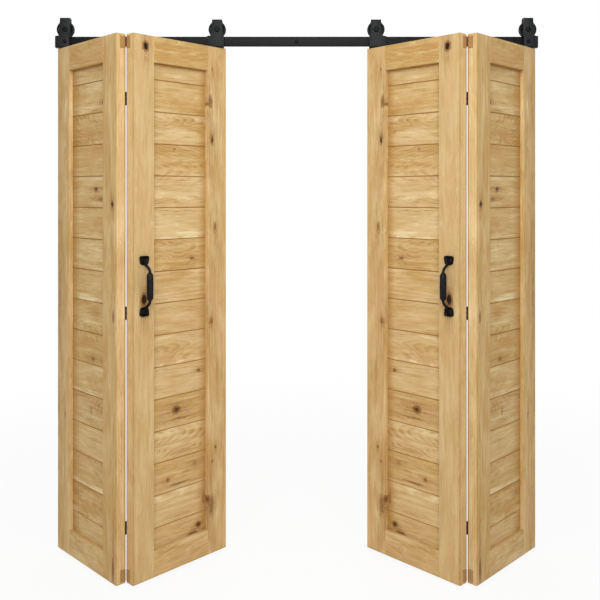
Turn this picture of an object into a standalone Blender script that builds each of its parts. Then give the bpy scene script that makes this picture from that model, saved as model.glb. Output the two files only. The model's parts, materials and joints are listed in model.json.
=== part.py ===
"""Double bi-fold barn door on an exposed flat track.

Two mirrored pairs of wooden leaves hang from wheels that ride on a flat steel track. The outer leaf of
a pair turns under a hanger that is clamped to the track's end. The lead leaf is hinged to it, and its
hanger rolls along the track.

Metres, +Z up. The origin is on the wall, behind the middle of the track. The wall is the plane y = 0
and the front of the door faces -Y. The leaves are drawn part folded, with the fold towards the front.
"""

import math

import bmesh
import bpy
from mathutils import Matrix, Vector

# Leaves
LEAF_HEIGHT = 2.032
LEAF_WIDTH = 0.480
LEAF_THICKNESS = 0.040
STILE_WIDTH = 0.100
CROSS_RAIL_HEIGHT = 0.098
PANEL_RECESS = 0.018
PANEL_LAP = 0.012
WOOD_ARRIS = 0.0010

# Through laps of the cross rails
LAP_HEIGHT = 0.053
LAP_PROUD = 0.0008
LAP_CHAMFER_WIDTH = 0.0030
LAP_CHAMFER_HEIGHT = 0.0120

# Boards of the panel
BOARD_PITCH = 0.1213
BOARD_THICKNESS = 0.0215
TOP_BOARD_SHOWN = 0.062
FRONT_CHAMFER = 0.0032
BACK_CHAMFER = 0.0015

# How the leaves hang and fold
REST_FOLD = math.radians(49.6)
FOLD_GAP = 0.0024
CENTRE_GAP = 0.0135
PIVOT_INSET = 0.030

# Fold hinges
HINGE_COUNT = 3
HINGE_HEIGHT = 0.048
FIRST_HINGE_DROP = 0.240
LAST_HINGE_RISE = 0.205
HINGE_PLATE_WIDTH = 0.036
HINGE_PLATE_THICKNESS = 0.0018
KNUCKLES = 3
KNUCKLE_RADIUS = 0.0026
KNUCKLE_GAP = 0.0006
PIN_RADIUS = 0.0012
PIN_BUTTON_RADIUS = 0.0020
PIN_BUTTON_HEIGHT = 0.0012
HINGE_SCREW_INSET = 0.022
HINGE_SCREW_SPACING = 0.028

# Track, and the stand-offs welded to its back
TRACK_OVERHANG = 0.0400
TRACK_HEIGHT = 0.040
TRACK_THICKNESS = 0.006
STEEL_ARRIS = 0.0006
STANDOFF_LENGTH = 0.035
STANDOFF_RADIUS = 0.012
INNER_BOLT_SPACING = 0.470

# Lag bolts into the wall
LAG_RADIUS = 0.0040
LAG_HEAD_FLATS = 0.0140
LAG_HEAD_HEIGHT = 0.0053

# Wheels
WHEEL_WIDTH = 0.018
FLANGE_RADIUS = 0.035
TREAD_RADIUS = 0.028
TREAD_SIDE_GAP = 0.0015
GROOVE_FLARE = 0.0016
WHEEL_HUB_RADIUS = 0.012
WHEEL_RIM_THICKNESS = 0.005
WHEEL_DISH = 0.0025

# Hanger straps
STRAP_THICKNESS = 0.0045
STRAP_TOP_WIDTH = 0.040
STRAP_NECK_WIDTH = 0.048
STRAP_CORNER_DROP = 0.004
STRAP_BEND_RADIUS = 0.0050
FOOT_BEND_RADIUS = 0.0040
LEAD_APRON_INNER_REACH = 0.028
LEAD_APRON_OUTER_REACH = 0.042
OUTER_APRON_INNER_REACH = 0.018
LEAD_HEADROOM = 0.0012
OUTER_HEADROOM = 0.0080
STRAP_SIDE_GAP = 0.0012
BACK_LEG_BELOW_AXLE = 0.014
FOOT_REACH = 0.013
FOOT_CLEARANCE = 0.0012

# Blocks welded behind the outer hangers' aprons
CLAMP_BLOCK_INSET = 0.0035
CLAMP_BLOCK_HEIGHT = 0.024

# Axle bolts
AXLE_RADIUS = 0.0050
AXLE_HEAD_RADIUS = 0.0110
AXLE_HEAD_HEIGHT = 0.0045
AXLE_HEAD_CHAMFER = 0.0015
AXLE_SOCKET_FLATS = 0.0080
AXLE_SOCKET_DEPTH = 0.0028
AXLE_NUT_FLATS = 0.0170
AXLE_NUT_HEIGHT = 0.0060
THREAD_SHOWN = 0.0020

# Pivot bolts, and the plates in the leaves' top edges that rest on their heads
STUD_RADIUS = 0.0050
RIVET_RADIUS = 0.0075
RIVET_DEPTH = 0.0020
COLLAR_RADIUS = 0.0110
COLLAR_THICKNESS = 0.0015
PIVOT_HEAD_FLATS = 0.0170
PIVOT_HEAD_HEIGHT = 0.0080
POCKET_CLEARANCE = 0.0015
TOP_PLATE_LENGTH = 0.054
TOP_PLATE_WIDTH = 0.028
TOP_PLATE_THICKNESS = 0.0030
TOP_PLATE_SCREW_SPACING = 0.040

# Countersunk screw holes of the hinge plates and top plates
SCREW_HOLE_RADIUS = 0.0022
COUNTERSINK_RADIUS = 0.0040
COUNTERSINK_DEPTH = 0.0015

# Handles
HANDLE_DROP = 0.934
HANDLE_INSET = 0.047
HANDLE_LENGTH = 0.224
HANDLE_STANDOFF = 0.038
GRIP_LENGTH = 0.106
GRIP_WIDTH = 0.028
GRIP_DEPTH = 0.022
GRIP_TAPER = 0.010
ARM_WIDTH = 0.013
ARM_DEPTH = 0.008
HANDLE_FOOT_HEIGHT = 0.034
HANDLE_FOOT_WIDTH = 0.042
HANDLE_FOOT_NECK = 0.030
HANDLE_FOOT_THICKNESS = 0.0045
HANDLE_FOOT_CORNER = 0.011

# Fits
SEAT_GAP = 0.0003
HOLE_CLEARANCE = 0.0004
CUT_OVERRUN = 0.010

# How finely round shapes are drawn
WHEEL_SEGMENTS = 20
ROUND_SEGMENTS = 12
KNUCKLE_SEGMENTS = 8
SCREW_SEGMENTS = 6
ARC_STEPS = 3
GRIP_SIDES = 8
ARM_STATIONS = 6
SHARP_ANGLE = math.radians(50)
FLAT_ANGLE = math.radians(1)
SHADING_ANGLE = math.radians(40)

# Places on a leaf, measured from its fold pin's axis at the level of the leaf's top edge
LEAF_BACK = HINGE_PLATE_THICKNESS - KNUCKLE_RADIUS
LEAF_FRONT = LEAF_BACK - LEAF_THICKNESS
LEAF_MIDDLE = LEAF_BACK - LEAF_THICKNESS / 2
REBATE_FLOOR = LEAF_FRONT + PANEL_RECESS
FOLD_EDGE = FOLD_GAP / 2
HANGER_EDGE = FOLD_EDGE + LEAF_WIDTH
PIVOT_X = HANGER_EDGE - PIVOT_INSET
HANDLE_X = FOLD_EDGE + HANDLE_INSET
HINGE_SPACING = (LEAF_HEIGHT - FIRST_HINGE_DROP - LAST_HINGE_RISE) / (HINGE_COUNT - 1)
HINGE_LEVELS = [-FIRST_HINGE_DROP - index * HINGE_SPACING for index in range(HINGE_COUNT)]

# Heights on a hanger, measured from the leaf's top edge
FOOT_UNDERSIDE = COLLAR_THICKNESS + 2 * SEAT_GAP
FOOT_TOP = FOOT_UNDERSIDE + STRAP_THICKNESS
TRACK_UNDERSIDE = FOOT_TOP + FOOT_CLEARANCE
TRACK_MIDDLE = TRACK_UNDERSIDE + TRACK_HEIGHT / 2
TRACK_TOP = TRACK_UNDERSIDE + TRACK_HEIGHT
AXLE_HEIGHT = TRACK_TOP + SEAT_GAP + TREAD_RADIUS

# Distances of the hanger's legs from the middle of the track
LEG_INSIDE = WHEEL_WIDTH / 2 + STRAP_SIDE_GAP
LEG_OUTSIDE = LEG_INSIDE + STRAP_THICKNESS

# Places in the room
LEAF_TOP = -TRACK_MIDDLE
TRACK_PLANE = -STANDOFF_LENGTH - TRACK_THICKNESS / 2
TRACK_FACE = TRACK_PLANE - TRACK_THICKNESS / 2
OUTER_PIVOT_X = CENTRE_GAP / 2 + 2 * LEAF_WIDTH + FOLD_GAP - PIVOT_INSET
TRACK_END = OUTER_PIVOT_X + TRACK_OVERHANG

HANDS = {"left": -1, "right": 1}
END_BOLTS = {f"{hand}_end_bolt": side * OUTER_PIVOT_X for hand, side in HANDS.items()}
TRACK_BOLTS = {
    "left_track_bolt": -INNER_BOLT_SPACING,
    "centre_track_bolt": 0,
    "right_track_bolt": INNER_BOLT_SPACING,
}


def plain_material(name, colour, roughness, metallic):
    material = bpy.data.materials.new(name)
    material.use_nodes = True
    shader = material.node_tree.nodes["Principled BSDF"]
    shader.inputs["Base Color"].default_value = (*colour, 1)
    shader.inputs["Roughness"].default_value = roughness
    shader.inputs["Metallic"].default_value = metallic
    material.diffuse_color = (*colour, 1)
    return material


# Meshes


def finished(shape):
    """The mesh of a bmesh, with its faces turned outwards."""
    bmesh.ops.recalc_face_normals(shape, faces=shape.faces)
    mesh = bpy.data.meshes.new("shape")
    shape.to_mesh(mesh)
    shape.free()
    return mesh


def prism(outline, depth):
    """A flat outline of 3D points, extruded along the vector depth."""
    shape = bmesh.new()
    face = shape.faces.new([shape.verts.new(point) for point in outline])
    top = bmesh.ops.extrude_face_region(shape, geom=[face])
    moved = [item for item in top["geom"] if isinstance(item, bmesh.types.BMVert)]
    bmesh.ops.translate(shape, verts=moved, vec=depth)
    return finished(shape)


def block(low, high):
    """A box between two opposite corners."""
    base = [(low[0], low[1]), (high[0], low[1]), (high[0], high[1]), (low[0], high[1])]
    return prism([(x, y, low[2]) for x, y in base], (0, 0, high[2] - low[2]))


def turned(profile, segments):
    """A profile of (radius, height) points, turned about Z. One that starts and ends on the axis is solid."""
    shape = bmesh.new()
    points = [shape.verts.new((radius, 0, height)) for radius, height in profile]
    following = points[1:] + points[:1] if profile[0][0] > 0 else points[1:]
    edges = [shape.edges.new(pair) for pair in zip(points, following)]
    bmesh.ops.spin(
        shape,
        geom=points + edges,
        cent=(0, 0, 0),
        axis=(0, 0, 1),
        angle=math.tau,
        steps=segments,
        use_merge=True,
    )
    bmesh.ops.remove_doubles(shape, verts=shape.verts, dist=SEAT_GAP / 10)
    return finished(shape)


def rod(radius, low, high, segments=ROUND_SEGMENTS):
    return turned([(0, low), (radius, low), (radius, high), (0, high)], segments)


def hexagon_corner(flats):
    return flats / 2 / math.cos(math.pi / 6)


def hexagon(flats, low, high):
    """A hexagonal prism on Z, of the given size across its flats."""
    corner = hexagon_corner(flats)
    angles = [math.tau * step / 6 for step in range(6)]
    outline = [(corner * math.cos(angle), corner * math.sin(angle), low) for angle in angles]
    return prism(outline, (0, 0, high - low))


def placed(mesh, matrix):
    """The mesh moved by a matrix. A mirrored mesh gets its faces turned outwards again."""
    mesh = mesh.copy()
    mesh.transform(matrix)
    if matrix.determinant() < 0:
        mesh.flip_normals()
    return mesh


def shifted(mesh, x, y, z):
    return placed(mesh, Matrix.Translation((x, y, z)))


def along_y(mesh):
    """The mesh with what was up turned to face -Y."""
    return placed(mesh, Matrix.Rotation(math.pi / 2, 4, "X"))


def gathered(meshes):
    """Several meshes in one, for one Boolean."""
    shape = bmesh.new()
    for mesh in meshes:
        shape.from_mesh(mesh)
    mesh = bpy.data.meshes.new("group")
    shape.to_mesh(mesh)
    shape.free()
    return mesh


def boolean(mesh, tool, operation):
    """What an exact Boolean of two closed meshes leaves."""
    body = bpy.data.objects.new("body", mesh)
    helper = bpy.data.objects.new("tool", tool)
    for item in (body, helper):
        bpy.context.scene.collection.objects.link(item)
    modifier = body.modifiers.new("Boolean", "BOOLEAN")
    modifier.operation = operation
    modifier.solver = "EXACT"
    modifier.object = helper
    graph = bpy.context.evaluated_depsgraph_get()
    result = bpy.data.meshes.new_from_object(body.evaluated_get(graph))
    for item in (body, helper):
        bpy.data.objects.remove(item)
    return result


def cut(mesh, *tools):
    return boolean(mesh, gathered(tools), "DIFFERENCE")


def joined(mesh, tool):
    return boolean(mesh, tool, "UNION")


def common(mesh, tool):
    return boolean(mesh, tool, "INTERSECT")


def eased(mesh, width):
    """The mesh with its sharp outer edges planed off. Inner corners stay square, for what seats there."""
    shape = bmesh.new()
    shape.from_mesh(mesh)
    bmesh.ops.dissolve_limit(shape, angle_limit=FLAT_ANGLE, verts=shape.verts, edges=shape.edges)
    sharp = [edge for edge in shape.edges if edge.is_convex and edge.calc_face_angle() > SHARP_ANGLE]
    bmesh.ops.bevel(shape, geom=sharp, offset=width, segments=1, affect="EDGES")
    return finished(shape)


def smooth(mesh):
    """Shades a round piece smooth, with its real edges kept sharp."""
    mesh.shade_smooth()
    mesh.set_sharp_from_angle(angle=SHADING_ANGLE)
    return mesh


# Outlines


def rounded(corners, radius, steps=ARC_STEPS):
    """A closed outline of 2D corners, each rounded by an arc."""
    points = []
    for index, corner in enumerate(corners):
        here = Vector(corner)
        before = (Vector(corners[index - 1]) - here).normalized()
        after = (Vector(corners[(index + 1) % len(corners)]) - here).normalized()
        half_angle = before.angle(after) / 2
        centre = here + (before + after).normalized() * radius / math.sin(half_angle)
        start = here + before * radius / math.tan(half_angle) - centre
        sweep = start.angle_signed(here + after * radius / math.tan(half_angle) - centre)
        for step in range(steps + 1):
            turn = Matrix.Rotation(-sweep * step / steps, 2)
            points.append(tuple(centre + turn @ start))
    return points


def bent_strip(corners, radii, thickness, steps=ARC_STEPS):
    """The closed outline of a strip of sheet, bent at the inner corners of its 2D middle line."""
    left, right = [], []

    def station(point, direction):
        side = Vector((-direction.y, direction.x)) * thickness / 2
        left.append(tuple(point + side))
        right.append(tuple(point - side))

    line = [Vector(corner) for corner in corners]
    station(line[0], (line[1] - line[0]).normalized())
    for index in range(1, len(line) - 1):
        here = line[index]
        arriving = (here - line[index - 1]).normalized()
        leaving = (line[index + 1] - here).normalized()
        turn = -arriving.angle_signed(leaving)
        radius = radii[index - 1]
        start = here - arriving * radius * math.tan(abs(turn) / 2)
        centre = start + Vector((-arriving.y, arriving.x)) * math.copysign(radius, turn)
        for step in range(steps + 1):
            spin = Matrix.Rotation(turn * step / steps, 2)
            station(centre + spin @ (start - centre), spin @ arriving)
    station(line[-1], (line[-1] - line[-2]).normalized())
    return left + right[::-1]


def screw_hole(plate_thickness):
    """The cutter of a countersunk hole, down through a plate whose top is at z = 0."""
    end = -plate_thickness - CUT_OVERRUN
    profile = [
        (0, CUT_OVERRUN),
        (COUNTERSINK_RADIUS, CUT_OVERRUN),
        (COUNTERSINK_RADIUS, 0),
        (SCREW_HOLE_RADIUS, -COUNTERSINK_DEPTH),
        (SCREW_HOLE_RADIUS, end),
        (0, end),
    ]
    return turned(profile, SCREW_SEGMENTS)


# Leaf. Its frame has x from the fold pin outwards, y = 0 on the pin's axis and z = 0 at the leaf's top edge.


def pivot_pocket():
    """The recess for the top plate and, below it, the round pocket for the pivot bolt's head."""
    half_length = TOP_PLATE_LENGTH / 2 + SEAT_GAP
    half_width = TOP_PLATE_WIDTH / 2 + SEAT_GAP
    recess = block(
        (PIVOT_X - half_length, LEAF_MIDDLE - half_width, -TOP_PLATE_THICKNESS - SEAT_GAP),
        (PIVOT_X + half_length, LEAF_MIDDLE + half_width, CUT_OVERRUN),
    )
    radius = hexagon_corner(PIVOT_HEAD_FLATS) + POCKET_CLEARANCE
    floor = -TOP_PLATE_THICKNESS - SEAT_GAP - PIVOT_HEAD_HEIGHT - POCKET_CLEARANCE
    return joined(recess, shifted(rod(radius, floor, 0), PIVOT_X, LEAF_MIDDLE, 0))


def stile(inner_side):
    """A stile from x = 0, rebated for the panel on its inner side, +1 or -1, and notched for the laps."""
    blank = block((0, LEAF_FRONT, -LEAF_HEIGHT), (STILE_WIDTH, LEAF_BACK, 0))
    rebate_low = STILE_WIDTH - PANEL_LAP if inner_side > 0 else -CUT_OVERRUN
    rebate_high = STILE_WIDTH + CUT_OVERRUN if inner_side > 0 else PANEL_LAP
    back = LEAF_BACK + CUT_OVERRUN
    notch = LAP_HEIGHT + SEAT_GAP
    rebate = block(
        (rebate_low, REBATE_FLOOR, -LEAF_HEIGHT - CUT_OVERRUN),
        (rebate_high, back, CUT_OVERRUN),
    )
    low_notch = block(
        (-CUT_OVERRUN, REBATE_FLOOR, -LEAF_HEIGHT - CUT_OVERRUN),
        (STILE_WIDTH + CUT_OVERRUN, back, notch - LEAF_HEIGHT),
    )
    high_notch = block(
        (-CUT_OVERRUN, REBATE_FLOOR, -notch),
        (STILE_WIDTH + CUT_OVERRUN, back, CUT_OVERRUN),
    )
    for tool in (rebate, low_notch, high_notch):
        blank = cut(blank, tool)
    return eased(blank, WOOD_ARRIS)


def hinge_recesses():
    """The cutters that let the hinges' plates and, at the fold edge, their knuckles into a leaf's back."""
    floor = -KNUCKLE_RADIUS - SEAT_GAP
    reaches = {
        HINGE_PLATE_WIDTH: HINGE_HEIGHT / 2,
        KNUCKLE_RADIUS: HINGE_HEIGHT / 2 + PIN_BUTTON_HEIGHT,
    }
    cutters = []
    for level in HINGE_LEVELS:
        for reach, half_height in reaches.items():
            half = half_height + SEAT_GAP
            low = (-CUT_OVERRUN, floor, level - half)
            high = (reach + SEAT_GAP, LEAF_BACK + CUT_OVERRUN, level + half)
            cutters.append(block(low, high))
    return cutters


def fold_stile():
    post = shifted(stile(1), FOLD_EDGE, 0, 0)
    for recess in hinge_recesses():
        post = cut(post, recess)
    return post


def hanger_stile():
    return cut(shifted(stile(-1), HANGER_EDGE - STILE_WIDTH, 0, 0), pivot_pocket())


def cross_rail():
    """A rail at the leaf's top. Its back half runs through both stiles, and is rebated for the panel."""
    inner_low = FOLD_EDGE + STILE_WIDTH + SEAT_GAP
    inner_high = HANGER_EDGE - STILE_WIDTH - SEAT_GAP
    end_low = FOLD_EDGE - LAP_PROUD
    end_high = HANGER_EDGE + LAP_PROUD
    haunch_low = inner_low - PANEL_LAP
    haunch_high = inner_high + PANEL_LAP
    haunch = PANEL_LAP - CROSS_RAIL_HEIGHT
    outline = [
        (end_low, -LAP_HEIGHT),
        (haunch_low, -LAP_HEIGHT),
        (haunch_low, haunch),
        (inner_low, haunch),
        (inner_low, -CROSS_RAIL_HEIGHT),
        (inner_high, -CROSS_RAIL_HEIGHT),
        (inner_high, haunch),
        (haunch_high, haunch),
        (haunch_high, -LAP_HEIGHT),
        (end_high, -LAP_HEIGHT),
        (end_high, -LAP_CHAMFER_HEIGHT),
        (end_high - LAP_CHAMFER_WIDTH, 0),
        (end_low + LAP_CHAMFER_WIDTH, 0),
        (end_low, -LAP_CHAMFER_HEIGHT),
    ]
    piece = prism([(x, LEAF_FRONT, z) for x, z in outline], (0, LEAF_THICKNESS, 0))
    shoulder = REBATE_FLOOR + SEAT_GAP
    front = LEAF_FRONT - CUT_OVERRUN
    low = -CROSS_RAIL_HEIGHT - CUT_OVERRUN
    fold_shoulder = block((end_low - CUT_OVERRUN, front, low), (inner_low, shoulder, CUT_OVERRUN))
    hanger_shoulder = block((inner_high, front, low), (end_high + CUT_OVERRUN, shoulder, CUT_OVERRUN))
    rebate = block(
        (haunch_low - CUT_OVERRUN, REBATE_FLOOR, low),
        (haunch_high + CUT_OVERRUN, LEAF_BACK + CUT_OVERRUN, haunch),
    )
    for tool in (fold_shoulder, hanger_shoulder, rebate):
        piece = cut(piece, tool)
    return eased(piece, WOOD_ARRIS)


def top_rail():
    return cut(cross_rail(), pivot_pocket())


def bottom_rail():
    """The same rail turned upside down at the leaf's foot."""
    turned_over = Matrix.Scale(-1, 4, (0, 0, 1))
    return placed(cross_rail(), Matrix.Translation((0, 0, -LEAF_HEIGHT)) @ turned_over)


def panel():
    """Horizontal tongue-and-groove boards glued up as one piece, with a V at every joint of both faces."""
    opening_top = -CROSS_RAIL_HEIGHT
    opening_bottom = CROSS_RAIL_HEIGHT - LEAF_HEIGHT
    full_boards = int((opening_top - opening_bottom - TOP_BOARD_SHOWN) / BOARD_PITCH)
    joints = [opening_top - TOP_BOARD_SHOWN - index * BOARD_PITCH for index in range(full_boards + 1)]
    top = opening_top + PANEL_LAP - SEAT_GAP
    bottom = opening_bottom - PANEL_LAP + SEAT_GAP
    front = REBATE_FLOOR + SEAT_GAP
    back = front + BOARD_THICKNESS
    profile = [(front, top)]
    for joint in joints:
        profile += [
            (front, joint + FRONT_CHAMFER),
            (front + FRONT_CHAMFER, joint),
            (front, joint - FRONT_CHAMFER),
        ]
    profile += [(front, bottom), (back, bottom)]
    for joint in reversed(joints):
        profile += [
            (back, joint - BACK_CHAMFER),
            (back - BACK_CHAMFER, joint),
            (back, joint + BACK_CHAMFER),
        ]
    profile.append((back, top))
    start = FOLD_EDGE + STILE_WIDTH - PANEL_LAP + SEAT_GAP
    end = HANGER_EDGE - STILE_WIDTH + PANEL_LAP - SEAT_GAP
    return prism([(start, y, z) for y, z in profile], (end - start, 0, 0))


def top_plate():
    """The plate let into the leaf's top edge, which rests on the pivot bolt's head."""
    plate = block(
        (PIVOT_X - TOP_PLATE_LENGTH / 2, LEAF_MIDDLE - TOP_PLATE_WIDTH / 2, -TOP_PLATE_THICKNESS),
        (PIVOT_X + TOP_PLATE_LENGTH / 2, LEAF_MIDDLE + TOP_PLATE_WIDTH / 2, 0),
    )
    bore = rod(STUD_RADIUS + HOLE_CLEARANCE, -TOP_PLATE_THICKNESS - CUT_OVERRUN, CUT_OVERRUN)
    hole = screw_hole(TOP_PLATE_THICKNESS)
    screws = [PIVOT_X + side * TOP_PLATE_SCREW_SPACING / 2 for side in HANDS.values()]
    return cut(
        plate,
        shifted(bore, PIVOT_X, LEAF_MIDDLE, 0),
        *[shifted(hole, x, LEAF_MIDDLE, 0) for x in screws],
    )


# Fold hinge. Its frame is the leaf's, with z = 0 at the hinge's middle.


def knuckle_bounds():
    """The lower and upper end of each knuckle, from the bottom."""
    pitch = HINGE_HEIGHT / KNUCKLES
    ends = [index * pitch - HINGE_HEIGHT / 2 for index in range(KNUCKLES + 1)]
    return list(zip(ends, ends[1:]))


def wrapped_sheet():
    """A plate's outline from above: flush with the leaf's back, then wrapped round the pin."""
    inner_face = HINGE_PLATE_THICKNESS - KNUCKLE_RADIUS
    meets_flat = math.asin(inner_face / KNUCKLE_RADIUS)
    leaves_flat = -math.pi / 2
    sweep = math.tau - (meets_flat - leaves_flat)
    angles = [leaves_flat - sweep * step / KNUCKLE_SEGMENTS for step in range(KNUCKLE_SEGMENTS + 1)]
    wrap = [(KNUCKLE_RADIUS * math.cos(angle), KNUCKLE_RADIUS * math.sin(angle)) for angle in angles]
    return wrap + [(HINGE_PLATE_WIDTH, inner_face), (HINGE_PLATE_WIDTH, -KNUCKLE_RADIUS)]


def hinge_plate(first_knuckle):
    """A plate that keeps every second knuckle, from first_knuckle on."""
    low = -HINGE_HEIGHT / 2
    plate = prism([(x, y, low) for x, y in wrapped_sheet()], (0, 0, HINGE_HEIGHT))
    reach = KNUCKLE_RADIUS + KNUCKLE_GAP
    for index, (bottom, top) in enumerate(knuckle_bounds()):
        if index % 2 == first_knuckle:
            continue
        bottom -= CUT_OVERRUN if index == 0 else KNUCKLE_GAP / 2
        top += CUT_OVERRUN if index == KNUCKLES - 1 else KNUCKLE_GAP / 2
        plate = cut(plate, block((-reach - CUT_OVERRUN, -reach, bottom), (reach, reach, top)))
    hole = placed(screw_hole(HINGE_PLATE_THICKNESS), Matrix.Rotation(-math.pi / 2, 4, "X"))
    face = HINGE_PLATE_THICKNESS - KNUCKLE_RADIUS
    heights = [side * HINGE_SCREW_SPACING / 2 for side in HANDS.values()]
    return cut(plate, *[shifted(hole, HINGE_SCREW_INSET, face, height) for height in heights])


def pinned_hinge_plate():
    """The outer leaf's plate, with the end knuckles and the pin riveted into them."""
    root = HINGE_HEIGHT / 2 - PIN_BUTTON_HEIGHT
    tip = HINGE_HEIGHT / 2 + PIN_BUTTON_HEIGHT
    profile = [
        (0, -tip),
        (PIN_BUTTON_RADIUS, -tip),
        (PIN_BUTTON_RADIUS, -root),
        (PIN_RADIUS, -root),
        (PIN_RADIUS, root),
        (PIN_BUTTON_RADIUS, root),
        (PIN_BUTTON_RADIUS, tip),
        (0, tip),
    ]
    return joined(hinge_plate(0), turned(profile, KNUCKLE_SEGMENTS))


def bored_hinge_plate():
    """The lead leaf's plate, whose middle knuckle turns on the pin."""
    bore = rod(PIN_RADIUS + HOLE_CLEARANCE, -HINGE_HEIGHT, HINGE_HEIGHT, KNUCKLE_SEGMENTS)
    return cut(hinge_plate(1), bore)


# Handle. Its frame has y = 0 on the leaf's face and z = 0 at the grip's middle.


def handle_stations():
    """Centre (stand-off, height), direction, width and depth of the metal at each ring of the bent bar."""
    inner_end = HANDLE_LENGTH / 2 - HANDLE_FOOT_HEIGHT
    corners = [
        Vector((SEAT_GAP + ARM_DEPTH / 2, inner_end + ARM_DEPTH)),
        Vector((HANDLE_FOOT_THICKNESS + ARM_DEPTH, inner_end)),
        Vector((HANDLE_STANDOFF, GRIP_LENGTH / 2 + 2 * ARM_DEPTH)),
        Vector((HANDLE_STANDOFF, GRIP_LENGTH / 2)),
    ]
    legs = [after - before for before, after in zip(corners, corners[1:])]
    stations = []
    for step in range(ARM_STATIONS + 1):
        share = step / ARM_STATIONS
        rest = 1 - share
        weights = [rest**3, 3 * share * rest**2, 3 * share**2 * rest, share**3]
        slopes = [rest**2, 2 * share * rest, share**2]
        centre = sum((weight * corner for weight, corner in zip(weights, corners)), Vector((0, 0)))
        direction = sum((slope * leg for slope, leg in zip(slopes, legs)), Vector((0, 0)))
        stations.append((centre, direction.normalized(), ARM_WIDTH, ARM_DEPTH))
    full = Vector((HANDLE_STANDOFF, GRIP_LENGTH / 2 - GRIP_TAPER))
    stations.append((full, Vector((0, -1)), GRIP_WIDTH, GRIP_DEPTH))
    lower_half = [
        (Vector((centre.x, -centre.y)), Vector((-direction.x, direction.y)), width, depth)
        for centre, direction, width, depth in reversed(stations)
    ]
    return stations + lower_half


def handle_bar():
    """The bent bar between the feet, thick and faceted where it is gripped, as a skin over rings."""
    shape = bmesh.new()
    rings = []
    for centre, direction, width, depth in handle_stations():
        across = Vector((direction.y, -direction.x))
        ring = []
        for side in range(GRIP_SIDES):
            angle = math.tau * (side + 1 / 2) / GRIP_SIDES
            point = centre + across * depth / 2 * math.sin(angle)
            ring.append(shape.verts.new((width / 2 * math.cos(angle), -point.x, point.y)))
        rings.append(ring)
    for ring, following in zip(rings, rings[1:]):
        for side in range(GRIP_SIDES):
            other = (side + 1) % GRIP_SIDES
            shape.faces.new((ring[side], ring[other], following[other], following[side]))
    shape.faces.new(rings[0])
    shape.faces.new(rings[-1])
    return finished(shape)


def handle_foot(side):
    """A flared foot, wide at its far end and drawn in to the arm. side is +1 at the top, -1 below."""
    far = side * HANDLE_LENGTH / 2
    near = side * (HANDLE_LENGTH / 2 - HANDLE_FOOT_HEIGHT)
    corners = [
        (-HANDLE_FOOT_WIDTH / 2, far),
        (HANDLE_FOOT_WIDTH / 2, far),
        (HANDLE_FOOT_NECK / 2, near),
        (-HANDLE_FOOT_NECK / 2, near),
    ]
    outline = rounded(corners, HANDLE_FOOT_CORNER)
    plate = prism([(x, -SEAT_GAP, z) for x, z in outline], (0, -HANDLE_FOOT_THICKNESS, 0))
    return eased(plate, WOOD_ARRIS)


def handle():
    piece = handle_bar()
    for side in HANDS.values():
        piece = joined(piece, handle_foot(side))
    return shifted(piece, HANDLE_X, LEAF_FRONT, -HANDLE_DROP)


# Hanger. Its frame has x = y = 0 on the leaf's pivot, under the track, and z = 0 at the leaf's top edge.


def strap_blank(inner_reach, outer_reach, headroom):
    """A strap bent over the wheel, down in front of the track and back under it.

    Its apron reaches from the pivot towards the middle of the track, -X, and towards the track's end, +X.
    """
    leg = LEG_INSIDE + STRAP_THICKNESS / 2
    crest = AXLE_HEIGHT + FLANGE_RADIUS + headroom + STRAP_THICKNESS / 2
    foot = FOOT_UNDERSIDE + STRAP_THICKNESS / 2
    middle_line = [
        (FOOT_REACH, foot),
        (-leg, foot),
        (-leg, crest),
        (leg, crest),
        (leg, AXLE_HEIGHT - BACK_LEG_BELOW_AXLE),
    ]
    radii = [FOOT_BEND_RADIUS, STRAP_BEND_RADIUS, STRAP_BEND_RADIUS]
    side_view = bent_strip(middle_line, radii, STRAP_THICKNESS)
    widest = max(inner_reach, outer_reach, STRAP_NECK_WIDTH / 2) + CUT_OVERRUN
    bent = prism([(-widest, y, z) for y, z in side_view], (2 * widest, 0, 0))
    top = crest + STRAP_THICKNESS
    neck = TRACK_TOP + STRAP_CORNER_DROP
    bottom = FOOT_UNDERSIDE - STRAP_THICKNESS
    front_view = [
        (STRAP_TOP_WIDTH / 2, top),
        (STRAP_NECK_WIDTH / 2, neck),
        (outer_reach, TRACK_TOP),
        (outer_reach, bottom),
        (-inner_reach, bottom),
        (-inner_reach, TRACK_TOP),
        (-STRAP_NECK_WIDTH / 2, neck),
        (-STRAP_TOP_WIDTH / 2, top),
    ]
    depth = LEG_OUTSIDE + CUT_OVERRUN
    sheet = prism([(x, -depth, z) for x, z in front_view], (0, 2 * depth, 0))
    return common(bent, sheet)


def drilled_strap(blank):
    """The strap with its axle holes and the countersunk hole for the pivot bolt."""
    reach = LEG_OUTSIDE + CUT_OVERRUN
    axle = along_y(rod(AXLE_RADIUS + HOLE_CLEARANCE, -reach, reach))
    return cut(blank, shifted(axle, 0, 0, AXLE_HEIGHT), pivot_stud(HOLE_CLEARANCE))


def lead_strap():
    return drilled_strap(strap_blank(LEAD_APRON_INNER_REACH, LEAD_APRON_OUTER_REACH, LEAD_HEADROOM))


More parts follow.
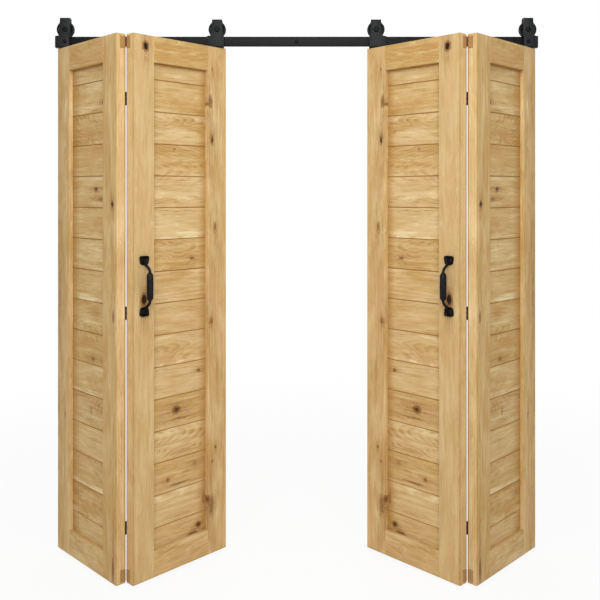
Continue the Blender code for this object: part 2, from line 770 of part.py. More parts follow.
def outer_strap():
    """The strap of a clamped hanger, whose apron ends flush with the track.

    A block behind the apron bears on the track, and is drilled with it.
    """
    blank = strap_blank(OUTER_APRON_INNER_REACH, TRACK_OVERHANG, OUTER_HEADROOM)
    front = -LEG_INSIDE - STRAP_THICKNESS / 2
    back = -TRACK_THICKNESS / 2 - SEAT_GAP
    clamp_block = block(
        (CLAMP_BLOCK_INSET - OUTER_APRON_INNER_REACH, front, TRACK_MIDDLE - CLAMP_BLOCK_HEIGHT / 2),
        (TRACK_OVERHANG - CLAMP_BLOCK_INSET, back, TRACK_MIDDLE + CLAMP_BLOCK_HEIGHT / 2),
    )
    bolt = along_y(rod(LAG_RADIUS + HOLE_CLEARANCE, 0, LEG_OUTSIDE + CUT_OVERRUN))
    return cut(drilled_strap(joined(blank, clamp_block)), shifted(bolt, 0, 0, TRACK_MIDDLE))


def wheel():
    """A grooved wheel on the Y axis: tread, flared flanges, dished sides and a hub."""
    side = WHEEL_WIDTH / 2
    tread = TRACK_THICKNESS / 2 + TREAD_SIDE_GAP
    rim = FLANGE_RADIUS - WHEEL_RIM_THICKNESS
    dish = side - WHEEL_DISH
    half = [
        (AXLE_RADIUS + HOLE_CLEARANCE, side),
        (WHEEL_HUB_RADIUS, side),
        (WHEEL_HUB_RADIUS, dish),
        (rim, dish),
        (rim, side),
        (FLANGE_RADIUS, side),
        (FLANGE_RADIUS, tread + GROOVE_FLARE),
        (TREAD_RADIUS, tread),
    ]
    profile = half + [(radius, -offset) for radius, offset in reversed(half)]
    return along_y(turned(profile, WHEEL_SEGMENTS))


def axle_bolt():
    """The round-headed axle bolt with a hexagon socket, and the nut fast on its far end."""
    seat = LEG_OUTSIDE + SEAT_GAP
    crown = seat + AXLE_HEAD_HEIGHT
    end = -seat - AXLE_NUT_HEIGHT - THREAD_SHOWN
    profile = [
        (0, end),
        (AXLE_RADIUS, end),
        (AXLE_RADIUS, seat),
        (AXLE_HEAD_RADIUS, seat),
        (AXLE_HEAD_RADIUS, crown - AXLE_HEAD_CHAMFER),
        (AXLE_HEAD_RADIUS - AXLE_HEAD_CHAMFER, crown),
        (0, crown),
    ]
    socket = hexagon(AXLE_SOCKET_FLATS, crown - AXLE_SOCKET_DEPTH, crown + CUT_OVERRUN)
    bolt = cut(turned(profile, ROUND_SEGMENTS), socket)
    nut = hexagon(AXLE_NUT_FLATS, -seat - AXLE_NUT_HEIGHT, -seat)
    return along_y(joined(bolt, nut))


def pivot_stud(clearance=0):
    """The stud riveted flush in the hanger's foot. With a clearance, it is the hole for one."""
    radius = STUD_RADIUS + clearance
    rivet = RIVET_RADIUS + clearance
    end = -TOP_PLATE_THICKNESS - PIVOT_HEAD_HEIGHT / 2
    profile = [(0, end), (radius, end), (radius, FOOT_TOP - RIVET_DEPTH), (rivet, FOOT_TOP)]
    if clearance:
        profile.append((rivet, FOOT_TOP + CUT_OVERRUN))
    profile.append((0, profile[-1][1]))
    return turned(profile, ROUND_SEGMENTS)


def pivot_bolt():
    """The stud, its thrust collar under the foot, and the hexagon head that carries the leaf's top plate."""
    collar = rod(COLLAR_RADIUS, SEAT_GAP, SEAT_GAP + COLLAR_THICKNESS)
    head_top = -TOP_PLATE_THICKNESS - SEAT_GAP
    head = hexagon(PIVOT_HEAD_FLATS, head_top - PIVOT_HEAD_HEIGHT, head_top)
    return joined(joined(pivot_stud(), collar), head)


# Track and its bolts, in the room's frame


def track():
    """The bar on its stand-offs, with a hole through both for each bolt."""
    bar = block(
        (-TRACK_END, TRACK_FACE, -TRACK_HEIGHT / 2),
        (TRACK_END, -STANDOFF_LENGTH, TRACK_HEIGHT / 2),
    )
    piece = eased(bar, STEEL_ARRIS)
    standoff = along_y(rod(STANDOFF_RADIUS, 0, -TRACK_PLANE))
    hole = along_y(rod(LAG_RADIUS + HOLE_CLEARANCE, -CUT_OVERRUN, CUT_OVERRUN - TRACK_FACE))
    places = [*TRACK_BOLTS.values(), *END_BOLTS.values()]
    for x in places:
        piece = joined(piece, shifted(standoff, x, 0, 0))
    return cut(piece, *[shifted(hole, x, 0, 0) for x in places])


def lag_bolt(seat):
    """A hex-headed bolt along Y whose head bears on the plane y = seat. It ends at the wall."""
    head = hexagon(LAG_HEAD_FLATS, SEAT_GAP - seat, SEAT_GAP - seat + LAG_HEAD_HEIGHT)
    shank = rod(LAG_RADIUS, SEAT_GAP, SEAT_GAP - seat + LAG_HEAD_HEIGHT / 2)
    return along_y(joined(head, shank))


# Assembly


def joint_empty(name, parent, location, angle):
    """An empty on a vertical joint's axis, turned by angle about it."""
    empty = bpy.data.objects.new(name, None)
    bpy.context.scene.collection.objects.link(empty)
    empty.parent = parent
    empty.location = location
    empty.rotation_euler = (0, 0, angle)
    return empty


def add_piece(name, mesh, material, parent=None, location=(0, 0, 0)):
    mesh = mesh.copy()
    mesh.name = name
    mesh.materials.clear()
    mesh.materials.append(material)
    piece = bpy.data.objects.new(name, mesh)
    bpy.context.scene.collection.objects.link(piece)
    piece.parent = parent
    piece.location = location


def handed(mesh, side):
    """The mesh as it is drawn, or mirrored where side is -1."""
    return placed(mesh, Matrix.Scale(side, 4, (1, 0, 0)))


def add_leaf(name, pieces, plate, side, parent, location):
    """The wood and plates of one leaf. side is the way along X that it runs from its fold."""
    for suffix, (mesh, material) in pieces.items():
        add_piece(f"{name}_{suffix}", handed(mesh, side), material, parent, location)
    mesh, material = plate
    for number, level in enumerate(HINGE_LEVELS, 1):
        hinge = shifted(handed(mesh, side), 0, 0, level)
        add_piece(f"{name}_hinge_plate_{number}", hinge, material, parent, location)


def add_hanger(name, pieces, strap, steel, parent):
    """The strap, wheel, axle bolt and pivot bolt of one hanger, on its leaf's pivot axis."""
    add_piece(f"{name}_strap", strap, steel, parent)
    for suffix, (mesh, height) in pieces.items():
        add_piece(f"{name}_{suffix}", mesh, steel, parent, (0, 0, height))


def main():
    for item in list(bpy.data.objects):
        bpy.data.objects.remove(item)

    wood = plain_material("knotty_wood", (0.60, 0.41, 0.20), 0.6, 0.0)
    board_wood = plain_material("knotty_boards", (0.56, 0.37, 0.17), 0.6, 0.0)
    steel = plain_material("black_steel", (0.022, 0.022, 0.024), 0.5, 0.3)

    leaf_pieces = {
        "fold_stile": (fold_stile(), wood),
        "hanger_stile": (hanger_stile(), wood),
        "top_rail": (top_rail(), wood),
        "bottom_rail": (bottom_rail(), wood),
        "panel": (panel(), board_wood),
        "top_plate": (top_plate(), steel),
    }
    hanger_pieces = {
        "wheel": (smooth(wheel()), AXLE_HEIGHT),
        "axle_bolt": (smooth(axle_bolt()), AXLE_HEIGHT),
        "pivot_bolt": (smooth(pivot_bolt()), 0),
    }
    pinned_plate = (smooth(pinned_hinge_plate()), steel)
    bored_plate = (smooth(bored_hinge_plate()), steel)
    fixed_strap = outer_strap()
    rolling_strap = lead_strap()
    pull = handle()

    add_piece("track", track(), steel)
    for name, x in TRACK_BOLTS.items():
        add_piece(name, lag_bolt(TRACK_FACE), steel, None, (x, 0, 0))
    for name, x in END_BOLTS.items():
        add_piece(name, lag_bolt(TRACK_PLANE - LEG_OUTSIDE), steel, None, (x, 0, 0))

    for hand, side in HANDS.items():
        hanging = (side * OUTER_PIVOT_X, TRACK_PLANE, LEAF_TOP)
        pin_place = (-side * PIVOT_X, -LEAF_MIDDLE, 0)
        lead_place = (-side * PIVOT_X, LEAF_MIDDLE, 0)
        fixed = joint_empty(f"{hand}_outer_hanger", None, hanging, 0)
        outer = joint_empty(f"{hand}_outer_pivot_axis", None, hanging, side * REST_FOLD)
        pin = joint_empty(f"{hand}_fold_axis", outer, pin_place, -2 * side * REST_FOLD)
        rolling = joint_empty(f"{hand}_lead_pivot_axis", pin, lead_place, side * REST_FOLD)
        add_leaf(f"{hand}_outer", leaf_pieces, pinned_plate, side, outer, pin_place)
        add_leaf(f"{hand}_lead", leaf_pieces, bored_plate, -side, pin, (0, 0, 0))
        add_piece(f"{hand}_handle", handed(pull, -side), steel, pin)
        add_hanger(f"{hand}_outer", hanger_pieces, handed(fixed_strap, side), steel, fixed)
        add_hanger(f"{hand}_lead", hanger_pieces, handed(rolling_strap, side), steel, rolling)


main()
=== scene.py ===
"""Looks for a double bi-fold barn door on an exposed flat track.

Knotty wood, black steel, the small screws that the solids leave out, and a pale stage.
"""

import json
import math

import bmesh
import bpy
from bpy.props import FloatProperty, FloatVectorProperty, IntProperty, PointerProperty
from mathutils import Matrix, Vector
from mathutils.geometry import interpolate_bezier


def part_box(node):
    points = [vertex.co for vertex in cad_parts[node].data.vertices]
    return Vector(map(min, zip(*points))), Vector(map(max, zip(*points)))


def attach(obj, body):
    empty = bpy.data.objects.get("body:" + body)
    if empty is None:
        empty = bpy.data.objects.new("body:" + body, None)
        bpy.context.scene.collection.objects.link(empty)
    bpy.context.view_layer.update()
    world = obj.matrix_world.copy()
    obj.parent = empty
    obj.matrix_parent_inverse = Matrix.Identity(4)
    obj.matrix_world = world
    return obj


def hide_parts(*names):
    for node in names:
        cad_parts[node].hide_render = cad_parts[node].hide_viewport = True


bl_info = {
    "name": "Folding Door Looks",
    "version": (1, 0, 0),
    "blender": (4, 5, 0),
    "location": "3D View > Sidebar > Folding Door",
    "description": "Finishes and fine pieces for a double bi-fold barn door on an exposed track",
    "category": "Object",
}

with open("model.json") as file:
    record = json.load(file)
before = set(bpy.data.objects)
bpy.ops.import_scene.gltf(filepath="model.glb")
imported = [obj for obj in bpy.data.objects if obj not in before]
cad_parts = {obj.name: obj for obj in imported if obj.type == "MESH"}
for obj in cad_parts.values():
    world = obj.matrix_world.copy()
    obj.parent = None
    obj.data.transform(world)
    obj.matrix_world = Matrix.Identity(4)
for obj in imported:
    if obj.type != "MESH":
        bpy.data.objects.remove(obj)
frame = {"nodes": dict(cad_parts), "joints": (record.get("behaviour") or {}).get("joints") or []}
NODES = frame["nodes"]
JOINTS = {joint["name"]: joint for joint in frame["joints"]}
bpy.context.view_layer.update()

# Signs whose product is the way along X that a leaf runs from its fold
HANDS = {"left": -1, "right": 1}
LEAVES = {"outer": 1, "lead": -1}

# A leaf, measured from its fold pin's axis at the level of its top edge
FOLD_EDGE = 0.0012
LEAF_WIDTH = 0.480
LEAF_HEIGHT = 2.032
LEAF_BACK = -0.0008
LEAF_FRONT = -0.0408
LEAF_MIDDLE = -0.0208
STILE_WIDTH = 0.100
STILE_PITCH = LEAF_WIDTH - STILE_WIDTH
FIRST_SEAM = 0.160
BOARD_PITCH = 0.1213
PIVOT_X = 0.4512
FIRST_HINGE = -0.240
HINGE_SPACING = 0.7935
HINGE_HEIGHTS = [FIRST_HINGE - HINGE_SPACING * index for index in range(3)]
HINGE_SCREW_X = 0.022
HINGE_SCREW_RISE = 0.014
TOP_SCREW_REACH = 0.020

# A handle, by the middle of its length, which is at HANDLE_X and HANDLE_MIDDLE on the lead leaf
HANDLE_X = 0.0482
HANDLE_MIDDLE = -0.934
HANDLE_REACH = 0.112
HANDLE_SCREW_INSET = 0.0110
HANDLE_SCREW_SEAT = 0.0056

# The panel's opening in a leaf
OPENING_START = FOLD_EDGE + STILE_WIDTH
OPENING_END = FOLD_EDGE + LEAF_WIDTH - STILE_WIDTH
OPENING_TOP = -0.098

# The track, measured in the room
TRACK_PLANE = -0.038
TRACK_TOP = 0.020
LEAF_TOP = -0.0278
WALL_BOLTS = ("left_track", "centre_track", "right_track", "left_end", "right_end")

# How far a strap's apron reaches from its axle, towards the middle of the track and towards its end
APRON_REACHES = {"outer": (0.018, 0.040), "lead": (0.028, 0.042)}


def linear(code):
    """A colour written as six hex digits, as Blender's shaders take it."""
    shares = [int(code[place:place + 2], 16) / 255 for place in (0, 2, 4)]
    return tuple(
        share / 12.92 if share <= 0.04045 else ((share + 0.055) / 1.055) ** 2.4
        for share in shares
    )


def middle(node):
    """The middle of a node's box."""
    low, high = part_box(node)
    return (low + high) / 2


def leaf_way(hand, leaf):
    """The way along X that a leaf runs from its fold, +1 or -1."""
    return HANDS[hand] * LEAVES[leaf]


def fold_pin(hand):
    """Where a pair's fold pin stands, at the level of the leaves' tops."""
    return Vector(JOINTS[f"{hand}_lead_leaf_hinge"]["pos_m"])


def fold_angle():
    """How far each leaf stands from the flat, closed door."""
    return math.radians(abs(JOINTS["left_outer_leaf_hinge"]["range_deg"][0]))


def leaf_matrix(hand, leaf):
    """From a leaf's own frame to the room."""
    way = leaf_way(hand, leaf)
    turn = Matrix.Rotation(way * fold_angle(), 4, "Z")
    return Matrix.Translation(fold_pin(hand)) @ turn @ Matrix.Scale(way, 4, (1, 0, 0))


def hanger_body(hand, leaf):
    """The body that a hanger belongs to: an outer one is clamped to the track."""
    return "track" if leaf == "outer" else f"{hand}_lead_hanger"


def apron_ends(hand, leaf):
    """Where a strap's apron starts and ends along the track."""
    side = HANDS[hand]
    inner, outer = APRON_REACHES[leaf]
    axle = middle(f"{hand}_{leaf}_wheel").x
    return sorted((axle - side * inner, axle + side * outer))


# Settings


class WoodSettings(bpy.types.PropertyGroup):
    pale: FloatVectorProperty(
        name="Pale wood", description="Early wood of the palest boards",
        subtype="COLOR", default=linear("e2ca99"),
    )
    tan: FloatVectorProperty(
        name="Tan wood", description="Early wood of the darkest boards",
        subtype="COLOR", default=linear("c19b5f"),
    )
    rosy: FloatVectorProperty(
        name="Rosy wood", description="Patches of redder heartwood",
        subtype="COLOR", default=linear("c99d6a"),
    )
    cream: FloatVectorProperty(
        name="Sapwood", description="Cream bands along a board's edge",
        subtype="COLOR", default=linear("f0dfb2"),
    )
    ring: FloatVectorProperty(
        name="Growth rings", description="Late wood, drawn as thin lines",
        subtype="COLOR", default=linear("a47837"),
    )
    knot: FloatVectorProperty(
        name="Knots", description="Heart of a tight knot",
        subtype="COLOR", default=linear("180b04"),
    )
    halo: FloatVectorProperty(
        name="Round a knot", description="Stained wood round a knot",
        subtype="COLOR", default=linear("8a5422"),
    )
    end_grain: FloatVectorProperty(
        name="End grain", description="Sawn ends of the rails and stiles",
        subtype="COLOR", default=linear("a88554"),
    )
    # Painted shade: this colour darkens the panel's inside corners, the grooves between boards and the
    # arrises, where shade falls. It is also the deeper tone of the finish's patches.
    seam: FloatVectorProperty(
        name="Seams and creases",
        description="Finish gathered between two boards and in the panel's corners",
        subtype="COLOR", default=linear("9c6c26"),
    )
    ring_width: FloatProperty(
        name="Ring width", description="From one growth ring to the next", default=0.0058,
        min=0.001, max=0.03, unit="LENGTH", precision=4,
    )


class MetalSettings(bpy.types.PropertyGroup):
    track: FloatVectorProperty(
        name="Track", description="Powder coat of the track",
        subtype="COLOR", default=linear("101011"),
    )
    hanger: FloatVectorProperty(
        name="Hangers", description="Powder coat of the hanger straps",
        subtype="COLOR", default=linear("1b1d1e"),
    )
    wheel: FloatVectorProperty(
        name="Wheels", description="Turned steel wheels, blacked",
        subtype="COLOR", default=linear("191a1b"),
    )
    bolt: FloatVectorProperty(
        name="Bolts", description="Black oxide of bolts and screws",
        subtype="COLOR", default=linear("0a0a0b"),
    )
    iron: FloatVectorProperty(
        name="Handles", description="Wax-blacked wrought iron",
        subtype="COLOR", default=linear("0b0a0c"),
    )
    wheel_segments: IntProperty(
        name="Wheel segments", description="Faces round a wheel", default=64, min=16, max=128,
    )
    arris: FloatProperty(
        name="Arris", description="Rounding of the steel's sheared edges",
        default=0.0007, min=0.0001, max=0.002, unit="LENGTH", precision=4,
    )


class StageSettings(bpy.types.PropertyGroup):
    lens: FloatProperty(
        name="Lens", description="Focal length of the camera", default=53.4, min=20, max=200,
        unit="CAMERA",
    )
    distance: FloatProperty(
        name="Distance", description="From the camera to the track", default=3.621, min=1, max=12,
        unit="LENGTH",
    )
    eye_drop: FloatProperty(
        name="Eye", description="How far the camera is below the leaves' tops", default=0.600,
        min=-1, max=3, unit="LENGTH",
    )
    shift_across: FloatProperty(
        name="Shift across", description="Moves the picture sideways, as a share of its width",
        default=0.0057, min=-1, max=1, precision=4,
    )
    shift_up: FloatProperty(
        name="Shift up", description="Moves the picture upwards, as a share of its width",
        default=-0.1733, min=-1, max=1, precision=4,
    )
    key_power: FloatProperty(
        name="Key light", description="Power of the broad front light", default=168, min=0, max=2000,
        unit="POWER",
    )
    fill: FloatProperty(
        name="Fill", description="Strength of the white room round the door", default=0.380,
        min=0, max=2,
    )
    floor: FloatVectorProperty(
        name="Floor", description="Plain pale floor", subtype="COLOR", default=linear("ececea"),
    )
    shadow_share: FloatProperty(
        name="Shadow", description="How much of the floor's shading shows round the door",
        subtype="FACTOR", default=0.09, min=0, max=1,
    )


# Shaders


class Value:
    """A socket in an expression, whose sums and products add their Math nodes."""

    def __init__(self, finish, socket):
        self.finish = finish
        self.socket = socket

    def math(self, operation, *others):
        """A Math node whose first input is this value."""
        inputs = dict(enumerate((self, *others)))
        return self.finish.node("ShaderNodeMath", {"operation": operation}, inputs)

    def flipped(self, operation, other):
        """A Math node whose second input is this value."""
        return self.finish.node("ShaderNodeMath", {"operation": operation}, {0: other, 1: self})

    def __add__(self, other):
        return self.math("ADD", other)

    def __sub__(self, other):
        return self.math("SUBTRACT", other)

    def __mul__(self, other):
        return self.math("MULTIPLY", other)

    def __truediv__(self, other):
        return self.math("DIVIDE", other)

    def __rsub__(self, other):
        return self.flipped("SUBTRACT", other)

    def __rtruediv__(self, other):
        return self.flipped("DIVIDE", other)

    def __abs__(self):
        return self.math("ABSOLUTE")

    __radd__ = __add__
    __rmul__ = __mul__


class Nodes:
    """A node tree in the making, whose nodes take links or plain values."""

    def __init__(self, tree):
        self.tree = tree

    def feed(self, socket, value):
        """Links a value to a socket, or writes a plain number, vector or colour on it."""
        if isinstance(value, Value):
            self.tree.links.new(value.socket, socket)
        elif socket.type == "RGBA":
            socket.default_value = (*value, 1)
        else:
            socket.default_value = value

    def node(self, kind, settings, inputs, output=0):
        """Adds a node with its settings, feeds its sockets and gives back one of its outputs."""
        item = self.tree.nodes.new(kind)
        for setting, value in settings.items():
            setattr(item, setting, value)
        for socket, value in inputs.items():
            self.feed(item.inputs[socket], value)
        return Value(self, item.outputs[output])

    def mix(self, share, first, second):
        """Two colours mixed by a share. The node's colour sockets share their names with others."""
        inputs = {0: share, 6: first, 7: second}
        return self.node("ShaderNodeMix", {"data_type": "RGBA"}, inputs, 2)

    def vector(self, x, y, z):
        return self.node("ShaderNodeCombineXYZ", {}, {0: x, 1: y, 2: z})

    def length(self, vector):
        return self.node("ShaderNodeVectorMath", {"operation": "LENGTH"}, {0: vector}, "Value")

    def split(self, vector):
        """The three numbers in a vector or colour."""
        item = self.tree.nodes.new("ShaderNodeSeparateXYZ")
        self.feed(item.inputs[0], vector)
        return [Value(self, output) for output in item.outputs]

    def noise(self, vector, scale=1.0, detail=2.0, roughness=0.5, distortion=0.0, output="Fac"):
        inputs = {
            "Vector": vector,
            "Scale": scale,
            "Detail": detail,
            "Roughness": roughness,
            "Distortion": distortion,
        }
        return self.node("ShaderNodeTexNoise", {}, inputs, output)

    def step(self, value, start, end, low=0.0, high=1.0):
        """Runs smoothly from low to high while the value runs from start to end."""
        inputs = {"Value": value, "From Min": start, "From Max": end, "To Min": low, "To Max": high}
        return self.node("ShaderNodeMapRange", {"interpolation_type": "SMOOTHSTEP"}, inputs)

    def place(self):
        """Object coordinates, in metres."""
        return self.node("ShaderNodeTexCoord", {}, {}, "Object")

    def seen_directly(self):
        """1 for rays from the camera, off gloss or through glass, 0 for those that light the door."""
        path = self.tree.nodes.new("ShaderNodeLightPath")
        camera, glossy, through = [
            Value(self, path.outputs[f"Is {kind} Ray"]) for kind in ("Camera", "Glossy", "Transmission")
        ]
        return (camera + glossy + through).math("MINIMUM", 1)


class Finish(Nodes):
    """A material, with its Principled shader and what feeds it."""

    def __init__(self, name, **constants):
        self.material = bpy.data.materials.new(name)
        self.material.use_nodes = True
        super().__init__(self.material.node_tree)
        self.shader = self.tree.nodes["Principled BSDF"]
        for socket, value in constants.items():
            self.shader.inputs[socket.replace("_", " ")].default_value = value

    def surface(self, colour, roughness=None, metallic=None, height=None, depth=0.0, strength=0.0):
        """Feeds the shader with what changes over the surface."""
        for socket, value in (("Base Color", colour), ("Roughness", roughness), ("Metallic", metallic)):
            if value is not None:
                self.feed(self.shader.inputs[socket], value)
        if height is not None:
            inputs = {"Height": height, "Distance": depth, "Strength": strength}
            self.feed(self.shader.inputs["Normal"], self.node("ShaderNodeBump", {}, inputs))
        return self.material


# Each knot's place across and up its leaf, half its width, half its height and how dark it is
KNOTS = {
    "lead": [
        (0.060, -0.042, 0.0140, 0.0180, 1.00),
        (0.062, -0.058, 0.0110, 0.0200, 0.56),
        (0.052, -0.985, 0.0150, 0.0250, 1.00),
        (0.050, -0.955, 0.0110, 0.0300, 0.56),
        (0.057, -0.269, 0.0050, 0.0240, 0.34),
        (0.404, -0.091, 0.0060, 0.0100, 0.66),
        (0.392, -0.222, 0.0120, 0.0280, 0.76),
        (0.382, -0.232, 0.0070, 0.0080, 0.80),
        (0.403, -0.375, 0.0060, 0.0200, 0.94),
        (0.402, -0.370, 0.0130, 0.0380, 0.64),
        (0.419, -0.722, 0.0060, 0.0180, 0.78),
        (0.414, -0.728, 0.0110, 0.0400, 0.58),
        (0.398, -1.101, 0.0090, 0.0130, 0.84),
        (0.393, -1.104, 0.0130, 0.0320, 0.60),
        (0.432, -1.290, 0.0045, 0.0280, 0.50),
        (0.421, -1.610, 0.0060, 0.0065, 0.84),
        (0.403, -1.664, 0.0070, 0.0080, 0.72),
        (0.383, -1.812, 0.0070, 0.0150, 0.86),
        (0.372, -1.806, 0.0090, 0.0300, 0.70),
        (0.398, -1.838, 0.0200, 0.0500, 0.68),
        (0.218, -0.418, 0.0070, 0.0050, 0.74),
        (0.310, -0.843, 0.0120, 0.0055, 0.84),
        (0.345, -1.292, 0.0090, 0.0070, 0.84),
        (0.228, -1.428, 0.0210, 0.0150, 0.90),
        (0.250, -1.464, 0.0600, 0.0060, 0.66),
        (0.230, -1.405, 0.0500, 0.0060, 0.60),
        (0.323, -1.657, 0.0130, 0.0150, 0.60),
        (0.185, -1.690, 0.0080, 0.0080, 0.76),
        (0.240, -1.716, 0.0700, 0.0060, 0.68),
        (0.345, -1.905, 0.0150, 0.0110, 0.92),
        (0.312, -1.932, 0.0280, 0.0090, 0.80),
        (0.330, -1.918, 0.0400, 0.0180, 0.58),
    ],
    "outer": [
        (0.029, -0.630, 0.0095, 0.0120, 1.00),
        (0.022, -1.046, 0.0080, 0.0260, 0.80),
        (0.024, -1.978, 0.0080, 0.0420, 0.80),
        (0.132, -0.243, 0.0080, 0.0080, 0.96),
        (0.189, -0.574, 0.0150, 0.0090, 0.90),
        (0.152, -0.612, 0.0260, 0.0090, 0.70),
        (0.213, -1.229, 0.0150, 0.0070, 0.84),
        (0.229, -1.434, 0.0080, 0.0220, 0.66),
        (0.260, -1.420, 0.0500, 0.0300, 0.44),
        (0.347, -1.773, 0.0130, 0.0120, 0.56),
        (0.240, -1.740, 0.0500, 0.0050, 0.48),
        (0.415, -1.477, 0.0050, 0.0150, 0.66),
        (0.462, -0.310, 0.0060, 0.0200, 0.50),
        (0.462, -0.980, 0.0160, 0.1600, 0.60),
        (0.330, -0.342, 0.0070, 0.0060, 0.56),
    ],
}

# How far the wood's raggedness moves a knot's outline
KNOT_WANDER = 0.013

# What tells the outer and the lead leaves' wood apart: seeds, tones, a stain all over, the width of
# the painted crease shade beside the hanger stile, and how narrow the painted shade on the fold arris
# is
LEAF_WOOD = {
    "outer": {
        "stile_seed": 9.1, "stile_tone": 0.68, "far_stile_tone": -0.10,
        "rail_seed": 5.2, "first_lot": 12.6, "board_tone": 0.30,
        "stain": 0.03, "far_crease_shade": 0.070, "fold_shade_scale": 1.2,
    },
    "lead": {
        "stile_seed": 1.7, "stile_tone": 0.42, "far_stile_tone": 0.05,
        "rail_seed": 7.4, "first_lot": 31.4, "board_tone": 0.20,
        "stain": 0.0, "far_crease_shade": 0.045, "fold_shade_scale": 0.8,
    },
}


class Wood(Finish):
    """Knotty softwood on one leaf, whose grain runs up its stiles and across its rails and boards."""

    def __init__(self, name, hand, leaf, colours):
        super().__init__(name, Roughness=0.6, Specular_IOR_Level=0.15)
        self.leaf = leaf
        self.own = LEAF_WOOD[leaf]
        self.colours = colours
        way = leaf_way(hand, leaf)
        inputs = {
            "Vector": self.place(),
            "Location": fold_pin(hand),
            "Rotation": (0, 0, way * fold_angle()),
            "Scale": (way, 1, 1),
        }
        self.spot = self.node("ShaderNodeMapping", {"vector_type": "TEXTURE"}, inputs)
        self.x, self.y, self.z = self.split(self.spot)

    def pattern(self, x, y, z, detail, roughness=0.5, distortion=0.0):
        """Noise read at three scaled places, so that it can be drawn out with the grain."""
        return self.noise(self.vector(x, y, z), 1, detail, roughness, distortion)

    def knots(self, on_boards):
        """How knotty the wood is, up to 1 in a black heart, and how much stain the knots gave it.

        The stain is drawn out with the grain, along the boards or up the stiles.
        """
        ragged = self.noise(self.spot, 75, 4, 0.7, output="Color")
        inputs = {0: ragged, 1: (KNOT_WANDER, 0, KNOT_WANDER), 2: self.spot}
        spot = self.node("ShaderNodeVectorMath", {"operation": "MULTIPLY_ADD"}, inputs)
        squeeze = (0.30, 1, 0.75) if on_boards else (0.75, 1, 0.30)
        knotty = stain = 0
        for x, z, half_width, half_height, dark in KNOTS[self.leaf]:
            if (OPENING_START < x < OPENING_END) != on_boards:
                continue
            inputs = {
                "Vector": spot,
                "Location": (x + KNOT_WANDER / 2, LEAF_MIDDLE, z + KNOT_WANDER / 2),
                "Scale": (half_width, 0.2, half_height),
            }
            nearby = self.node("ShaderNodeMapping", {"vector_type": "TEXTURE"}, inputs)
            inputs = {0: nearby, 1: squeeze}
            drawn_out = self.node("ShaderNodeVectorMath", {"operation": "MULTIPLY"}, inputs)
            knotty = self.step(self.length(nearby), 2.4, 0.3, 0, dark).math("MAXIMUM", knotty)
            stain = self.step(self.length(drawn_out), 2.1, 0.3, 0, dark).math("MAXIMUM", stain)
        return knotty, stain

    def grain(self, along, across, seed, tone, figure, slant, knotty=0.0):
        """Sawn wood's colour and the height of its grain, from places along and across the grain.

        Its rings lie round a pith that runs off behind the surface at a slant, so they show as long
        nested arches, or as straight lines where the pith is far to one side. They bend round knots.
        A tone of 0 is pale and of 1 is tan. figure is how strongly the rings show.
        """
        colours = self.colours
        drift = self.pattern(along * 2.6 + seed * 7.7, across * 9 + seed, self.y * 8, 3)
        shift = self.random(seed, "Value")
        beside = across + drift * 0.13 + (shift - 0.5) * 0.14 - 0.065
        behind = along * slant + self.y * 0.8 + seed * 0.013 + 0.012
        rings = self.length(self.vector(beside, behind, 0)) / colours.ring_width
        phase = (rings + drift * 4 + knotty * 3).math("FRACT")
        late = self.step(phase, 0.10, 0.85) * self.step(phase, 1.0, 0.88)
        clouds = self.pattern(along * 5 + seed * 2.3, self.y * 12, across * 20 + seed, 4, 0.6, 0.6)
        streaks = self.pattern(across * 75, self.y * 75, along * 4 + seed * 5, 4, 0.65, 0.3)
        fibres = self.pattern(across * 420, self.y * 420, along * 20 + seed, 3, 0.65)
        pores = self.pattern(across * 900, self.y * 900, along * 60, 1)
        shade = self.step(tone * 0.34 + clouds * 0.75 + streaks * 0.60, 0.47, 1.20)
        colour = self.mix(shade, colours.pale, colours.tan)
        rosy = self.pattern(along * 4 + seed, self.y * 9, across * 16 + seed * 3, 2)
        colour = self.mix(self.step(rosy, 0.50, 0.72) * 0.50, colour, colours.rosy)
        shown = self.step(clouds, 0.40, 0.62) * 0.8 + 0.2
        colour = self.mix(late * shown * figure, colour, colours.ring)
        colour = self.mix(self.step(streaks, 0.55, 0.80) * 0.38, colour, colours.ring)
        colour = self.mix(self.step(streaks, 0.45, 0.26) * 0.32, colour, colours.cream)
        lines = self.pattern(across * 190 + drift * 9, self.y * 190, along * 7 + seed, 3, 0.7)
        plain = self.step(rosy, 0.62, 0.44) * 0.7 + 0.3
        colour = self.mix(self.step(lines, 0.54, 0.68) * plain * 0.60, colour, colours.ring)
        blond = self.pattern(across * 55 + seed, self.y * 30, along * 13 + seed * 4, 4, 0.7, 0.4)
        colour = self.mix(self.step(blond, 0.60, 0.72) * 0.42, colour, colours.cream)
        colour = self.mix(self.step(fibres, 0.48, 0.85) * 0.30, colour, colours.ring)
        colour = self.mix(self.step(pores, 0.66, 0.78) * 0.28, colour, colours.halo)
        height = late * 0.25 + fibres * 0.6 + pores * 0.3
        return colour, height

    def aged(self, colour):
        """Patches of a deeper finish, and a leaf that is darker towards its foot."""
        low = self.step(self.z, -0.4, -1.9) * 0.10 + self.own["stain"]
        patches = self.step(self.pattern(self.x * 9, self.y, self.z * 5, 4, 0.6, 1.0), 0.56, 0.76)
        return self.mix(patches * 0.20 + low, colour, self.colours.seam)

    def stained(self, colour, along, across, stain):
        """Brown streaks that run with the grain from the knots."""
        streaks = self.pattern(across * 130, self.y * 60, along * 11, 4, 0.7, 0.8)
        return self.mix(stain * self.step(streaks, 0.36, 0.62) * 0.60, colour, self.colours.halo)

